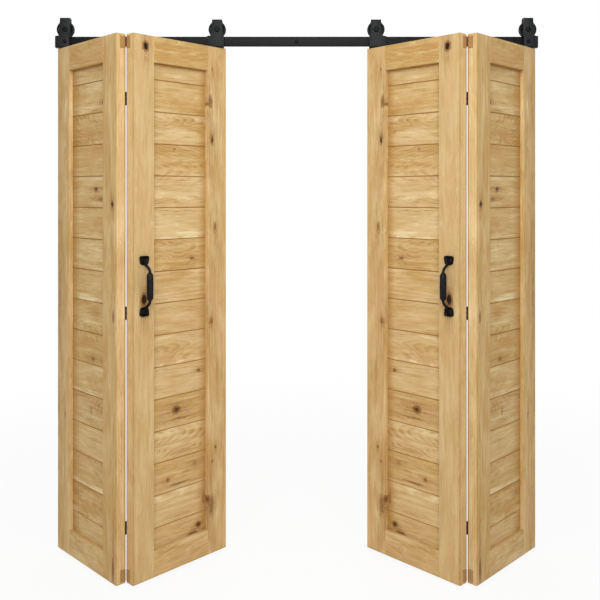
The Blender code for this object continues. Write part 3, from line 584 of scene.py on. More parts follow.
    def knotted(self, colour, height, knotty):
        """Draws the knots over the grain: a ringed brown body and, in the darkest, a black heart."""
        colours = self.colours
        rings = self.step(abs((knotty * 9).math("FRACT") - 0.5), 0.1, 0.4)
        worn = self.noise(self.spot, 130, 4, 0.7)
        body = self.step(knotty + worn * 0.5, 0.68, 1.02)
        colour = self.mix(body * 0.74, colour, self.mix(rings * 0.5, colours.halo, colours.knot))
        colour = self.mix(self.step(knotty + worn * 0.2, 0.90, 1.06) * 0.97, colour, colours.knot)
        return colour, height - body * 0.5

    def random(self, lot, output):
        """What a board draws from a lot number, the same for every point of the board."""
        return self.node("ShaderNodeTexWhiteNoise", {"noise_dimensions": "1D"}, {"W": lot}, output)

    def sapwood(self, colour, down, lot):
        """A cream band along the top edge (down is 0) or lower edge (down is 1) of some boards."""
        size, turn, present = self.split(self.random(lot + 0.37, "Color"))
        turned = self.step(turn, 0.49, 0.51)
        from_edge = down * (1 - turned * 2) + turned
        wavy = self.pattern(self.x * 5 + lot * 3, down * 9, lot, 4, 0.6)
        band = self.step(from_edge + wavy * 0.7 - size * 0.16, 0.50, 0.36)
        fading = self.step(self.pattern(self.x * 7 - lot * 5, down * 2, lot, 3, 0.6), 0.40, 0.56)
        share = band * fading * self.step(present, 0.46, 0.54) * 0.66
        return self.mix(share, colour, self.colours.cream)

    def end_grain(self, colour, share, first, second):
        """Sawn ends, with the arcs of the growth rings. first and second are places across the end."""
        pith_away, pith_aside, rings_per_metre = 0.045, 0.06, 330
        radius = self.length(self.vector(first + pith_away, second + pith_aside, 0))
        wobble = self.noise(self.spot, 40, 2)
        phase = (radius * rings_per_metre + wobble * 1.6).math("FRACT")
        arcs = self.step(abs(phase - 0.5), 0.12, 0.42)
        ends = self.mix(arcs * 0.45, self.colours.end_grain, self.colours.halo)
        return self.mix(share, colour, ends)

    def arris_shaded(self, colour):
        """Painted shade: arrises darkened along the fold edge's front, the far edge and the foot, and a
        painted shadow beside the pin at the back of the fold edge.
        """
        outside = self.x - FOLD_EDGE
        front = self.y - LEAF_FRONT
        from_fold = self.length(self.vector(outside, front, 0)) * self.own["fold_shade_scale"]
        from_far_edge = abs(outside - LEAF_WIDTH)
        from_foot = abs(self.z + LEAF_HEIGHT)
        nearest = from_fold.math("MINIMUM", from_far_edge).math("MINIMUM", from_foot)
        ragged = self.noise(self.spot, 35, 2)
        worn = self.step(nearest, 0.0050, 0.0010) * (ragged * 0.6 + 0.15)
        # Painted shade along the arrises
        colour = self.mix(worn, colour, self.colours.seam)
        # Painted shadow in the gap beside the pin, at the back of the fold edge's face
        shadow_at_back = self.step(self.y, LEAF_BACK - 0.0060, LEAF_BACK - 0.0020)
        at_edge = self.step(outside, 0.0010, 0.0004)
        return self.mix(shadow_at_back * at_edge * 0.85, colour, self.colours.halo)

    def finished(self, colour, height, knotty=0.0):
        """Sanded and sealed to a satin finish: duller in the pores, smoother on the knots."""
        colour = self.arris_shaded(colour)
        sheen = self.noise(self.spot, 22, 2)
        roughness = height * 0.12 + sheen * 0.10 + 0.52 - knotty * 0.12
        return self.surface(colour, roughness, height=height, depth=0.00035, strength=0.55)


def stile_wood(hand, leaf, colours):
    """Both stiles of a leaf, with upright grain. far is 0 on the fold stile, 1 on the hanger stile."""
    wood = Wood(f"{hand}_{leaf}_stile_wood", hand, leaf, colours)
    far = wood.step(wood.x, 0.20, 0.28)
    knotty, stain = wood.knots(on_boards=False)
    seed = far * 4.3 + wood.own["stile_seed"]
    tone = far * wood.own["far_stile_tone"] + wood.own["stile_tone"]
    across = wood.x - far * STILE_PITCH
    colour, height = wood.grain(wood.z, across, seed, tone, figure=0.30, slant=0.03, knotty=knotty)
    if leaf == "lead":
        even = tuple((first + second) * 0.45 for first, second in zip(colours.pale, colours.tan))
        colour = wood.mix((1 - far) * 0.36, colour, even)
    else:
        # Painted light: the outer leaf's fold edge face, which faces the light, is tinted paler
        fold_face_light = wood.step(wood.x, FOLD_EDGE + 0.0010, FOLD_EDGE + 0.0002)
        colour = wood.mix(fold_face_light * 0.10, colour, colours.cream)
    colour = wood.stained(wood.aged(colour), wood.z, across, stain)
    colour, height = wood.knotted(colour, height, knotty)
    top = wood.step(wood.z, -0.0012, -0.0002)
    foot = wood.step(wood.z, 0.0012 - LEAF_HEIGHT, 0.0002 - LEAF_HEIGHT)
    sawn = (top + foot).math("MINIMUM", 1)
    colour = wood.end_grain(colour, sawn, wood.x - far * 0.4, wood.y)
    return wood.finished(colour, height, knotty)


def rail_wood(hand, leaf, colours):
    """Both rails of a leaf, with level grain and brown sawn ends. low is 0 on the top one, 1 below."""
    wood = Wood(f"{hand}_{leaf}_rail_wood", hand, leaf, colours)
    low = wood.step(wood.z, -0.9, -1.1)
    seed = low * 6.1 + wood.own["rail_seed"]
    up = wood.z + low * (LEAF_HEIGHT - 0.1)
    tone = 1.15 - low * 0.72
    colour, height = wood.grain(wood.x, up, seed, tone, figure=0.30, slant=0.07)
    far_edge = FOLD_EDGE + LEAF_WIDTH
    fold_end = wood.step(wood.x, FOLD_EDGE + 0.0006, FOLD_EDGE - 0.0002)
    far_end = wood.step(wood.x, far_edge - 0.0006, far_edge + 0.0002)
    sawn = (fold_end + far_end).math("MINIMUM", 1)
    colour = wood.end_grain(wood.aged(colour), sawn, wood.y, up)
    return wood.finished(colour, height)


def board_wood(hand, leaf, colours):
    """The panel's boards, each with its own tone and figure, with dark seams, and painted shade in the
    seams' grooves and in the panel's corners.
    """
    wood = Wood(f"{hand}_{leaf}_board_wood", hand, leaf, colours)
    place = (wood.z + FIRST_SEAM) / -BOARD_PITCH
    board = place.math("FLOOR")
    down = place - board
    lot = board + wood.own["first_lot"]
    tone, seed, figure = wood.split(wood.random(lot, "Color"))
    knotty, stain = wood.knots(on_boards=True)
    across = (down - 0.5) * BOARD_PITCH
    tone = tone * 0.55 + wood.own["board_tone"]
    slant = figure * 0.10 + 0.03
    figure = figure * figure * 0.55 + 0.12
    colour, height = wood.grain(wood.x, across, seed * 9, tone, figure, slant, knotty)
    colour = wood.sapwood(colour, down, lot)
    colour = wood.stained(wood.aged(colour), wood.x, across, stain)
    colour, height = wood.knotted(colour, height, knotty)
    # Painted shade in the panel's inside corners beside both stiles and under the top rail, and in the
    # grooves between boards, whose seams are also dark joints
    near_crease_shade = wood.step(wood.x, OPENING_START + 0.016, OPENING_START) * 0.45
    far_crease_shade = wood.step(wood.x, OPENING_END - wood.own["far_crease_shade"], OPENING_END) * 0.56
    top_crease_shade = wood.step(wood.z, OPENING_TOP - 0.018, OPENING_TOP) * 0.60
    from_seam = down.math("MINIMUM", 1 - down) * BOARD_PITCH
    seam_and_crease_shade = wood.step(from_seam, 0.0028, 0.0008) * 0.75
    for crease in (near_crease_shade, far_crease_shade, top_crease_shade):
        seam_and_crease_shade = seam_and_crease_shade.math("MAXIMUM", crease)
    colour = wood.mix(seam_and_crease_shade, colour, colours.seam)
    return wood.finished(colour, height, knotty)


def powder_coat(name, colour, roughness, scuffs):
    """Satin powder coat: fine orange peel, duller patches and pale dust in the scuffs."""
    steel = Finish(name, Metallic=0.0, Specular_IOR_Level=0.12)
    place = steel.place()
    peel = steel.noise(place, 950, 2, 0.55)
    patches = steel.noise(place, 16, 3, 0.6)
    marks = steel.step(steel.noise(place, 190, 4, 0.7, 0.8), 0.60, 0.74)
    shade = steel.step(patches, 0.3, 0.7)
    pale = tuple(channel * 2.6 + 0.010 for channel in colour)
    deep = tuple(channel * 0.55 for channel in colour)
    tint = steel.mix(shade, deep, tuple(colour))
    tint = steel.mix(marks * scuffs, tint, pale)
    gloss = roughness + patches * 0.10 + marks * 0.12 - 0.05
    height = peel + marks * 0.3
    return steel.surface(tint, gloss, height=height, depth=0.00012, strength=0.6)


def blackened_steel(name, colour, roughness, metallic=0.5):
    """Turned or forged steel, oxide black, rubbed brighter in places."""
    steel = Finish(name, Specular_IOR_Level=0.14)
    place = steel.place()
    rubbed = steel.step(steel.noise(place, 120, 4, 0.65, 0.6), 0.52, 0.74)
    oil = steel.noise(place, 28, 2)
    bright = tuple(channel * 2.2 + 0.010 for channel in colour)
    tint = steel.mix(rubbed * 0.40, tuple(colour), bright)
    grit = steel.noise(place, 1500, 2, 0.6)
    gloss = oil * 0.14 - rubbed * 0.10 + roughness
    shine = rubbed * 0.2 + metallic
    return steel.surface(tint, gloss, shine, height=grit, depth=0.00006, strength=0.5)


def hammered_iron(name, colour):
    """Wrought iron: shallow hammer dents, uneven wax and a thin shine on the high spots."""
    iron = Finish(name, Specular_IOR_Level=0.16, Metallic=0.25)
    place = iron.place()
    inputs = {"Vector": place, "Scale": 115.0, "Smoothness": 0.9, "Randomness": 0.9}
    settings = {"feature": "SMOOTH_F1", "distance": "EUCLIDEAN"}
    dents = iron.node("ShaderNodeTexVoronoi", settings, inputs, "Distance")
    grit = iron.noise(place, 800, 3, 0.6)
    wax = iron.noise(place, 45, 3, 0.6)
    high = iron.step(dents, 0.30, 0.75)
    bright = tuple(channel * 2.2 + 0.008 for channel in colour)
    tint = iron.mix(high * 0.5, tuple(colour), bright)
    gloss = wax * 0.18 + grit * 0.06 + 0.36
    height = dents * 0.9 + grit * 0.12
    return iron.surface(tint, gloss, height=height, depth=0.0009, strength=0.6)


# Modelling by hand


def alone():
    """Leaves nothing selected, so that the next tool acts on its own piece."""
    if bpy.context.object and bpy.context.object.mode != "OBJECT":
        bpy.ops.object.mode_set(mode="OBJECT")
    bpy.ops.object.select_all(action="DESELECT")


def chosen(piece, *others):
    """Selects these pieces and no more, with the first one active."""
    alone()
    for item in (piece, *others):
        item.select_set(True)
    bpy.context.view_layer.objects.active = piece


def started(name, add, **sizes):
    """Adds a primitive with nothing else selected and opens it in edit mode."""
    alone()
    add(**sizes)
    piece = bpy.context.object
    piece.name = name
    bpy.ops.object.mode_set(mode="EDIT")
    return piece


def pick(kind, test):
    """Selects the vertices, edges or faces whose middle passes the test."""
    bpy.ops.mesh.select_mode(type=kind)
    bpy.ops.mesh.select_all(action="DESELECT")
    mesh = bpy.context.object.data
    shape = bmesh.from_edit_mesh(mesh)
    items = {"VERT": shape.verts, "EDGE": shape.edges, "FACE": shape.faces}[kind]
    for item in items:
        corners = [item] if kind == "VERT" else item.verts
        if test(sum((corner.co for corner in corners), Vector()) / len(corners)):
            item.select_set(True)
    shape.select_flush(True)
    bmesh.update_edit_mesh(mesh)


def closed(piece):
    """Merges doubles, turns the faces outwards and leaves edit mode."""
    bpy.ops.mesh.select_all(action="SELECT")
    bpy.ops.mesh.remove_doubles(threshold=0.00002)
    bpy.ops.mesh.normals_make_consistent(inside=False)
    bpy.ops.object.mode_set(mode="OBJECT")
    return piece


def applied(piece, kind, **settings):
    """Adds a modifier with its settings and applies it."""
    chosen(piece)
    modifier = piece.modifiers.new(kind.title(), kind)
    for setting, value in settings.items():
        setattr(modifier, setting, value)
    bpy.ops.object.modifier_apply(modifier=modifier.name)
    return piece


def smoothed(piece, angle=35):
    """Shades a piece smooth, apart from edges that turn further than some degrees."""
    chosen(piece)
    bpy.ops.object.shade_smooth_by_angle(angle=math.radians(angle))
    return piece


def eased(piece, width, segments=2, angle=30):
    """Rounds the edges of a piece that turn further than some degrees, and shades it smooth."""
    applied(piece, "BEVEL", width=width, segments=segments, limit_method="ANGLE",
            angle_limit=math.radians(angle), use_clamp_overlap=True)
    return smoothed(piece)


def lathe(name, profile, segments, bored=False):
    """Turns a profile of (radius, height) points about Z: a circle, extruded ring by ring."""
    radius, height = profile[0]
    fill = "NOTHING" if bored else "NGON"
    piece = started(
        name, bpy.ops.mesh.primitive_circle_add,
        vertices=segments, radius=radius, fill_type=fill, location=(0, 0, height),
    )
    bpy.ops.mesh.select_mode(type="EDGE")
    bpy.ops.mesh.select_all(action="SELECT")
    for next_radius, next_height in profile[1:]:
        bpy.ops.mesh.extrude_edges_move(TRANSFORM_OT_translate={"value": (0, 0, next_height - height)})
        share = next_radius / radius
        middle_of_ring = (0, 0, next_height - profile[0][1])
        bpy.ops.transform.resize(value=(share, share, 1), center_override=middle_of_ring)
        radius, height = next_radius, next_height
    if bored:
        bpy.ops.mesh.select_all(action="DESELECT")
        bpy.ops.mesh.select_non_manifold()
        bpy.ops.mesh.bridge_edge_loops()
    else:
        bpy.ops.mesh.edge_face_add()
    closed(piece)
    return settled(piece)


def settled(piece):
    """Puts a piece's place and turn into its mesh."""
    piece.data.transform(piece.matrix_world)
    piece.matrix_world = Matrix.Identity(4)
    return piece


def moved(piece, matrix):
    """Moves a piece's mesh. A mirrored one has its faces turned outwards again."""
    piece.data.transform(matrix)
    if matrix.determinant() < 0:
        piece.data.flip_normals()
    return piece


def copied(piece, name):
    """A copy with its own mesh."""
    twin = piece.copy()
    twin.data = piece.data.copy()
    twin.name = name
    bpy.context.scene.collection.objects.link(twin)
    return twin


def joined(piece, *others):
    """Makes the other pieces part of the first."""
    chosen(piece, *others)
    bpy.ops.object.join()
    return piece


def bar(name, low, high, width, segments=2):
    """A squared bar between two corners, with eased edges."""
    low, high = Vector(low), Vector(high)
    piece = started(name, bpy.ops.mesh.primitive_cube_add, size=1, location=(low + high) / 2)
    bpy.ops.transform.resize(value=tuple(high - low))
    closed(piece)
    settled(piece)
    return eased(piece, width, segments)


def hexagon(name, flats, low, high, width):
    """A hexagonal head or nut on Z, with its corners chamfered at the far end."""
    corner = flats / 2 / math.cos(math.pi / 6)
    piece = started(
        name, bpy.ops.mesh.primitive_cylinder_add,
        vertices=6, radius=corner, depth=high - low, location=(0, 0, (low + high) / 2),
    )
    half = (high - low) / 2
    pick("FACE", lambda place: place.z > half * 0.9)
    bpy.ops.mesh.inset(thickness=width * 2)
    bpy.ops.transform.translate(value=(0, 0, width))
    closed(piece)
    settled(piece)
    return eased(piece, width / 2, 1)


def facing_front(piece):
    """Turns what was up to face the front."""
    return moved(piece, Matrix.Rotation(math.pi / 2, 4, "X"))


def dressed(piece, body, slot, material, *nodes):
    """Gives a finished piece its material and its body, and hides the nodes that it stands for. slot is
    not used.
    """
    piece.data.materials.clear()
    piece.data.materials.append(material)
    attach(piece, body)
    if nodes:
        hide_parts(*nodes)


def scrapped(piece):
    """Removes a pattern or a cutter that has done its work."""
    bpy.data.objects.remove(piece)


# Operators


class FOLDINGDOOR_OT_wood(bpy.types.Operator):
    """Finish the stiles, rails and boards of the four leaves"""

    bl_idname = "folding_door.wood"
    bl_label = "Leaves"
    bl_options = {"REGISTER", "UNDO"}

    def execute(self, context):
        colours = context.scene.folding_door.wood
        for hand in HANDS:
            for leaf in LEAVES:
                stiles = stile_wood(hand, leaf, colours)
                rails = rail_wood(hand, leaf, colours)
                boards = board_wood(hand, leaf, colours)
                pieces = {
                    "fold_stile": stiles,
                    "hanger_stile": stiles,
                    "top_rail": rails,
                    "bottom_rail": rails,
                    "panel": boards,
                }
                for suffix, material in pieces.items():
                    NODES[f"{hand}_{leaf}_{suffix}"].material_slots[0].material = material
        return {"FINISHED"}


class FOLDINGDOOR_OT_track(bpy.types.Operator):
    """Model the track bar with its welded stand-offs"""

    bl_idname = "folding_door.track"
    bl_label = "Track"
    bl_options = {"REGISTER", "UNDO"}

    def execute(self, context):
        metal = context.scene.folding_door.metal
        coat = powder_coat("track_coat", metal.track, 0.50, 0.18)
        low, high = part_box("track")
        front = low.y
        back = TRACK_PLANE + (TRACK_PLANE - front)
        rail = bar("track_bar", (low.x, front, low.z), (high.x, back, high.z), metal.arris)
        pattern = eased(self.standoff(high.y - back), 0.0002, 1, 60)
        for bolt in WALL_BOLTS:
            standoff = copied(pattern, f"{bolt}_standoff")
            moved(standoff, Matrix.Translation((middle(f"{bolt}_bolt").x, high.y, 0)))
            rail = joined(rail, standoff)
        scrapped(pattern)
        dressed(rail, "track", "track_steel", coat, "track")
        return {"FINISHED"}

    def standoff(self, length):
        """A turned tube from the wall to the bar, with the weld's fillet at the bar."""
        radius = 0.012
        profile = [
            (radius - 0.0008, 0),
            (radius, 0.0008),
            (radius, length - 0.0026),
            (radius + 0.0008, length - 0.0014),
            (radius + 0.0024, length),
        ]
        return facing_front(lathe("standoff", profile, 40))


class FOLDINGDOOR_OT_wall_bolts(bpy.types.Operator):
    """Model the hexagon-headed bolts through the track"""

    bl_idname = "folding_door.wall_bolts"
    bl_label = "Wall Bolts"
    bl_options = {"REGISTER", "UNDO"}

    def execute(self, context):
        oxide = blackened_steel("wall_bolt_oxide", context.scene.folding_door.metal.bolt, 0.42)
        head = hexagon("bolt_head", 0.0140, 0.0008, 0.0045, 0.0008)
        washer = lathe("bolt_washer", [(0.0066, 0), (0.0069, 0.0004), (0.0069, 0.0009)], 32)
        shank = lathe("bolt_shank", [(0.0038, -0.034), (0.0040, -0.033), (0.0040, 0.002)], 20)
        pattern = facing_front(joined(head, washer, shank))
        for name in WALL_BOLTS:
            node = f"{name}_bolt"
            low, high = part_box(node)
            length = high.y - low.y
            bolt = copied(pattern, f"{node}_fine")
            if name.endswith("end"):
                reach = facing_front(lathe("bolt_reach", [(0.0040, 0), (0.0040, length - 0.004)], 20))
                bolt = joined(bolt, moved(reach, Matrix.Translation((0, length - 0.006, 0))))
            moved(bolt, Matrix.Translation((middle(node).x, low.y + 0.0053, 0)))
            dressed(bolt, "track", "bolt_steel", oxide, node)
        scrapped(pattern)
        return {"FINISHED"}


class FOLDINGDOOR_OT_straps(bpy.types.Operator):
    """Bend the four hanger straps over their wheels"""

    bl_idname = "folding_door.straps"
    bl_label = "Hanger Straps"
    bl_options = {"REGISTER", "UNDO"}

    def execute(self, context):
        metal = context.scene.folding_door.metal
        coat = powder_coat("hanger_coat", metal.hanger, 0.46, 0.25)
        for hand in HANDS:
            for leaf in LEAVES:
                piece = self.strap(hand, leaf, metal.arris)
                if leaf == "outer":
                    piece = joined(piece, self.clamp_block(hand, metal.arris))
                dressed(piece, hanger_body(hand, leaf), "hanger_steel", coat, f"{hand}_{leaf}_strap")
        return {"FINISHED"}

    def strap(self, hand, leaf, arris):
        """A sheet drawn edge by edge along its bends, given its thickness and its eased edges."""
        node = f"{hand}_{leaf}_strap"
        low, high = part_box(node)
        axle = middle(f"{hand}_{leaf}_wheel")
        thickness, top_half, neck_half = 0.0045, 0.0200, 0.0240
        foot_bend, top_bend = 0.0040, 0.0050
        front = low.y + thickness / 2
        back = high.y - thickness / 2
        foot = low.z + thickness / 2
        crest = high.z - thickness / 2
        neck = TRACK_TOP + 0.004
        back_end = axle.z - 0.014
        slope = (neck_half - top_half) / (crest - neck)
        back_half = top_half + (crest - back_end) * slope
        start, end = apron_ends(hand, leaf)
        apron_x, apron_half = (start + end) / 2, (end - start) / 2
        reach = TRACK_PLANE + 0.013
        rows = [
            (apron_x, front, TRACK_TOP, apron_half),
            (axle.x, front, neck, neck_half),
            (axle.x, front, crest, top_half),
            (axle.x, back, crest, top_half),
            (axle.x, back, back_end, back_half),
        ]
        piece = started(
            f"{node}_fine", bpy.ops.mesh.primitive_plane_add, size=1,
            location=(apron_x, (front + reach) / 2, foot),
        )
        bpy.ops.transform.resize(value=(2 * apron_half, reach - front, 1))
        pick("EDGE", lambda place: place.y < 0 and abs(place.x) < 0.01)
        x, y, z, half = apron_x, front, foot, apron_half
        for next_x, next_y, next_z, next_half in rows:
            way = (next_x - x, next_y - y, next_z - z)
            bpy.ops.mesh.extrude_edges_move(TRANSFORM_OT_translate={"value": way})
            bpy.ops.transform.resize(value=(next_half / half, 1, 1))
            x, y, z, half = next_x, next_y, next_z, next_half
        closed(piece)
        settled(piece)
        bpy.ops.object.mode_set(mode="EDIT")
        bends = (
            (apron_x, front, foot, foot_bend),
            (axle.x, front, crest, top_bend),
            (axle.x, back, crest, top_bend),
        )
        for *corner, radius in bends:
            pick("EDGE", lambda place: (place - Vector(corner)).length < 0.0005)
            bpy.ops.mesh.bevel(offset=radius, segments=6, affect="EDGES")
        closed(piece)
        applied(piece, "SOLIDIFY", thickness=thickness, offset=0, use_even_offset=True)
        return eased(piece, arris)

    def clamp_block(self, hand, arris):
        """The block behind an outer apron that bears on the track."""
        node = f"{hand}_outer_strap"
        inset, half_height = 0.0035, 0.012
        front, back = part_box(node)[0].y + 0.0030, TRACK_PLANE - 0.0033
        start, end = apron_ends(hand, "outer")
        low = (start + inset, front, -half_height)
        high = (end - inset, back, half_height)
        return bar(f"{node}_block", low, high, arris)


class FOLDINGDOOR_OT_wheels(bpy.types.Operator):
    """Turn the four grooved wheels"""

    bl_idname = "folding_door.wheels"
    bl_label = "Wheels"
    bl_options = {"REGISTER", "UNDO"}

    def execute(self, context):
        metal = context.scene.folding_door.metal
        steel = blackened_steel("wheel_steel_fine", metal.wheel, 0.40, 0.75)
        low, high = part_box("left_outer_wheel")
        side = (high.y - low.y) / 2
        flange = (high.z - low.z) / 2
        half = [
            (0.0054, side - 0.0004),
            (0.0058, side),
            (0.0114, side),
            (0.0120, side - 0.0006),
            (0.0124, side - 0.0021),
            (0.0132, side - 0.0026),
            (flange - 0.0066, side - 0.0026),
            (flange - 0.0056, side - 0.0021),
            (flange - 0.0050, side - 0.0006),
            (flange - 0.0044, side),
            (flange - 0.0010, side),
            (flange - 0.0003, side - 0.0004),
            (flange, side - 0.0012),
            (flange - 0.0002, side - 0.0024),
            (flange - 0.0009, 0.0062),
            (flange - 0.0065, 0.0046),
            (flange - 0.0070, 0.0041),
        ]
        profile = half + [(radius, -height) for radius, height in reversed(half)]
        pattern = facing_front(lathe("wheel_pattern", profile, metal.wheel_segments, bored=True))
        smoothed(pattern, 28)
        for hand in HANDS:
            for leaf in LEAVES:
                name = f"{hand}_{leaf}_wheel"
                piece = copied(pattern, f"{name}_fine")
                moved(piece, Matrix.Translation(middle(name)))
                dressed(piece, name, "wheel_steel", steel, name)
        scrapped(pattern)
        return {"FINISHED"}


class FOLDINGDOOR_OT_axle_bolts(bpy.types.Operator):
    """Model the round-headed axle bolts, their sockets and their nuts"""

    bl_idname = "folding_door.axle_bolts"
    bl_label = "Axle Bolts"
    bl_options = {"REGISTER", "UNDO"}

    def execute(self, context):
        oxide = blackened_steel("axle_oxide", context.scene.folding_door.metal.bolt, 0.36)
        seat, crown = 0.0150, 0.0195
        profile = [
            (0.0050, 0.001 - seat),
            (0.0050, seat),
            (0.0106, seat),
            (0.0110, seat + 0.0005),
            (0.0110, crown - 0.0020),
            (0.0107, crown - 0.0012),
            (0.0099, crown - 0.0005),
            (0.0086, crown - 0.0001),
            (0.0072, crown),
        ]
        bolt = lathe("axle_head", profile, 48)
        socket = hexagon("axle_socket", 0.0080, crown - 0.0028, crown + 0.0040, 0.0002)
        applied(bolt, "BOOLEAN", object=socket, operation="DIFFERENCE", solver="EXACT")
        scrapped(socket)
        eased(bolt, 0.0002, 1, 50)
        end = [(0.0042, -0.0230), (0.0050, -0.0222), (0.0050, 0.002 - seat)]
        nut = hexagon("axle_nut", 0.0170, seat, 0.0202, 0.0008)
        moved(nut, Matrix.Rotation(math.pi, 4, "X"))
        pattern = facing_front(joined(bolt, nut, lathe("axle_end", end, 24)))
        for hand in HANDS:
            for leaf in LEAVES:
                name = f"{hand}_{leaf}_axle_bolt"
                axle = middle(f"{hand}_{leaf}_wheel")
                piece = moved(copied(pattern, f"{name}_fine"), Matrix.Translation(axle))
                dressed(piece, hanger_body(hand, leaf), "bolt_steel", oxide, name)
        scrapped(pattern)
        return {"FINISHED"}


class FOLDINGDOOR_OT_pivots(bpy.types.Operator):
    """Finish the pivot bolts and the plates let into the leaves' top edges"""

    bl_idname = "folding_door.pivots"
    bl_label = "Pivots and Top Plates"
    bl_options = {"REGISTER", "UNDO"}

    def execute(self, context):
        oxide = blackened_steel("pivot_oxide", context.scene.folding_door.metal.bolt, 0.38)
        for hand in HANDS:
            for leaf in LEAVES:
                for suffix in ("pivot_bolt", "top_plate"):
                    NODES[f"{hand}_{leaf}_{suffix}"].material_slots[0].material = oxide
        return {"FINISHED"}


class FOLDINGDOOR_OT_hinges(bpy.types.Operator):
    """Model the fold hinges' plates, knuckles and pins"""

    bl_idname = "folding_door.hinges"
    bl_label = "Fold Hinges"
    bl_options = {"REGISTER", "UNDO"}

    def execute(self, context):
        metal = context.scene.folding_door.metal
        coat = powder_coat("hinge_coat", metal.hanger, 0.44, 0.30)
        patterns = {
            leaf: self.plate(f"{leaf}_hinge_pattern", leaf == "outer", metal.arris)
            for leaf in LEAVES
        }
        for hand in HANDS:
            for leaf, pattern in patterns.items():
                for index, height in enumerate(HINGE_HEIGHTS):
                    node = f"{hand}_{leaf}_hinge_plate_{index + 1}"
                    piece = copied(pattern, f"{node}_fine")
                    moved(piece, leaf_matrix(hand, leaf) @ Matrix.Translation((0, 0, height)))
                    dressed(piece, f"{hand}_{leaf}_leaf", "hinge_steel", coat, node)
        for pattern in patterns.values():
            scrapped(pattern)
        return {"FINISHED"}

    def plate(self, name, pinned, arris):
        """A plate with round corners and its knuckles: the two ends and the pin, or the middle one."""
        half, start, far = 0.024, 0.0028, 0.036
        inner_face, thickness = -0.0026, 0.0018
        knuckle, ease = 0.0026, 0.0003
        middle_half, ends_start = 0.0077, 0.0083
        piece = started(
            name, bpy.ops.mesh.primitive_cube_add, size=1,
            location=((start + far) / 2, inner_face + thickness / 2, 0),
        )
        bpy.ops.transform.resize(value=(far - start, thickness, 2 * half))
        pick("EDGE", lambda place: place.x > 0.01 and abs(place.z) > 0.01 and abs(place.y) < 0.0001)
        bpy.ops.mesh.bevel(offset=0.0045, segments=5, affect="EDGES")
        closed(piece)
        eased(settled(piece), arris * 0.5, 1)
        ends = [(-half, -ends_start), (ends_start, half)] if pinned else [(-middle_half, middle_half)]
        parts = []
        for low, high in ends:
            profile = [
                (knuckle - ease, low),
                (knuckle, low + ease),
                (knuckle, high - ease),
                (knuckle - ease, high),
            ]
            flap = bar("flap", (0, inner_face, low), (0.012, inner_face + thickness, high), 0.0002, 1)
            parts += [lathe("knuckle", profile, 28), flap]
        if pinned:
            top = [
                (0.0018, half),
                (0.0020, half + 0.0005),
                (0.0016, half + 0.0010),
                (0.0009, half + 0.0012),
            ]
            foot = [(radius, -height) for radius, height in reversed(top)]
            parts += [lathe("pin_button", top, 24), lathe("pin_foot", foot, 24)]
            parts.append(lathe("pin", [(0.0012, -half), (0.0012, half)], 16))
        return smoothed(joined(piece, *parts))


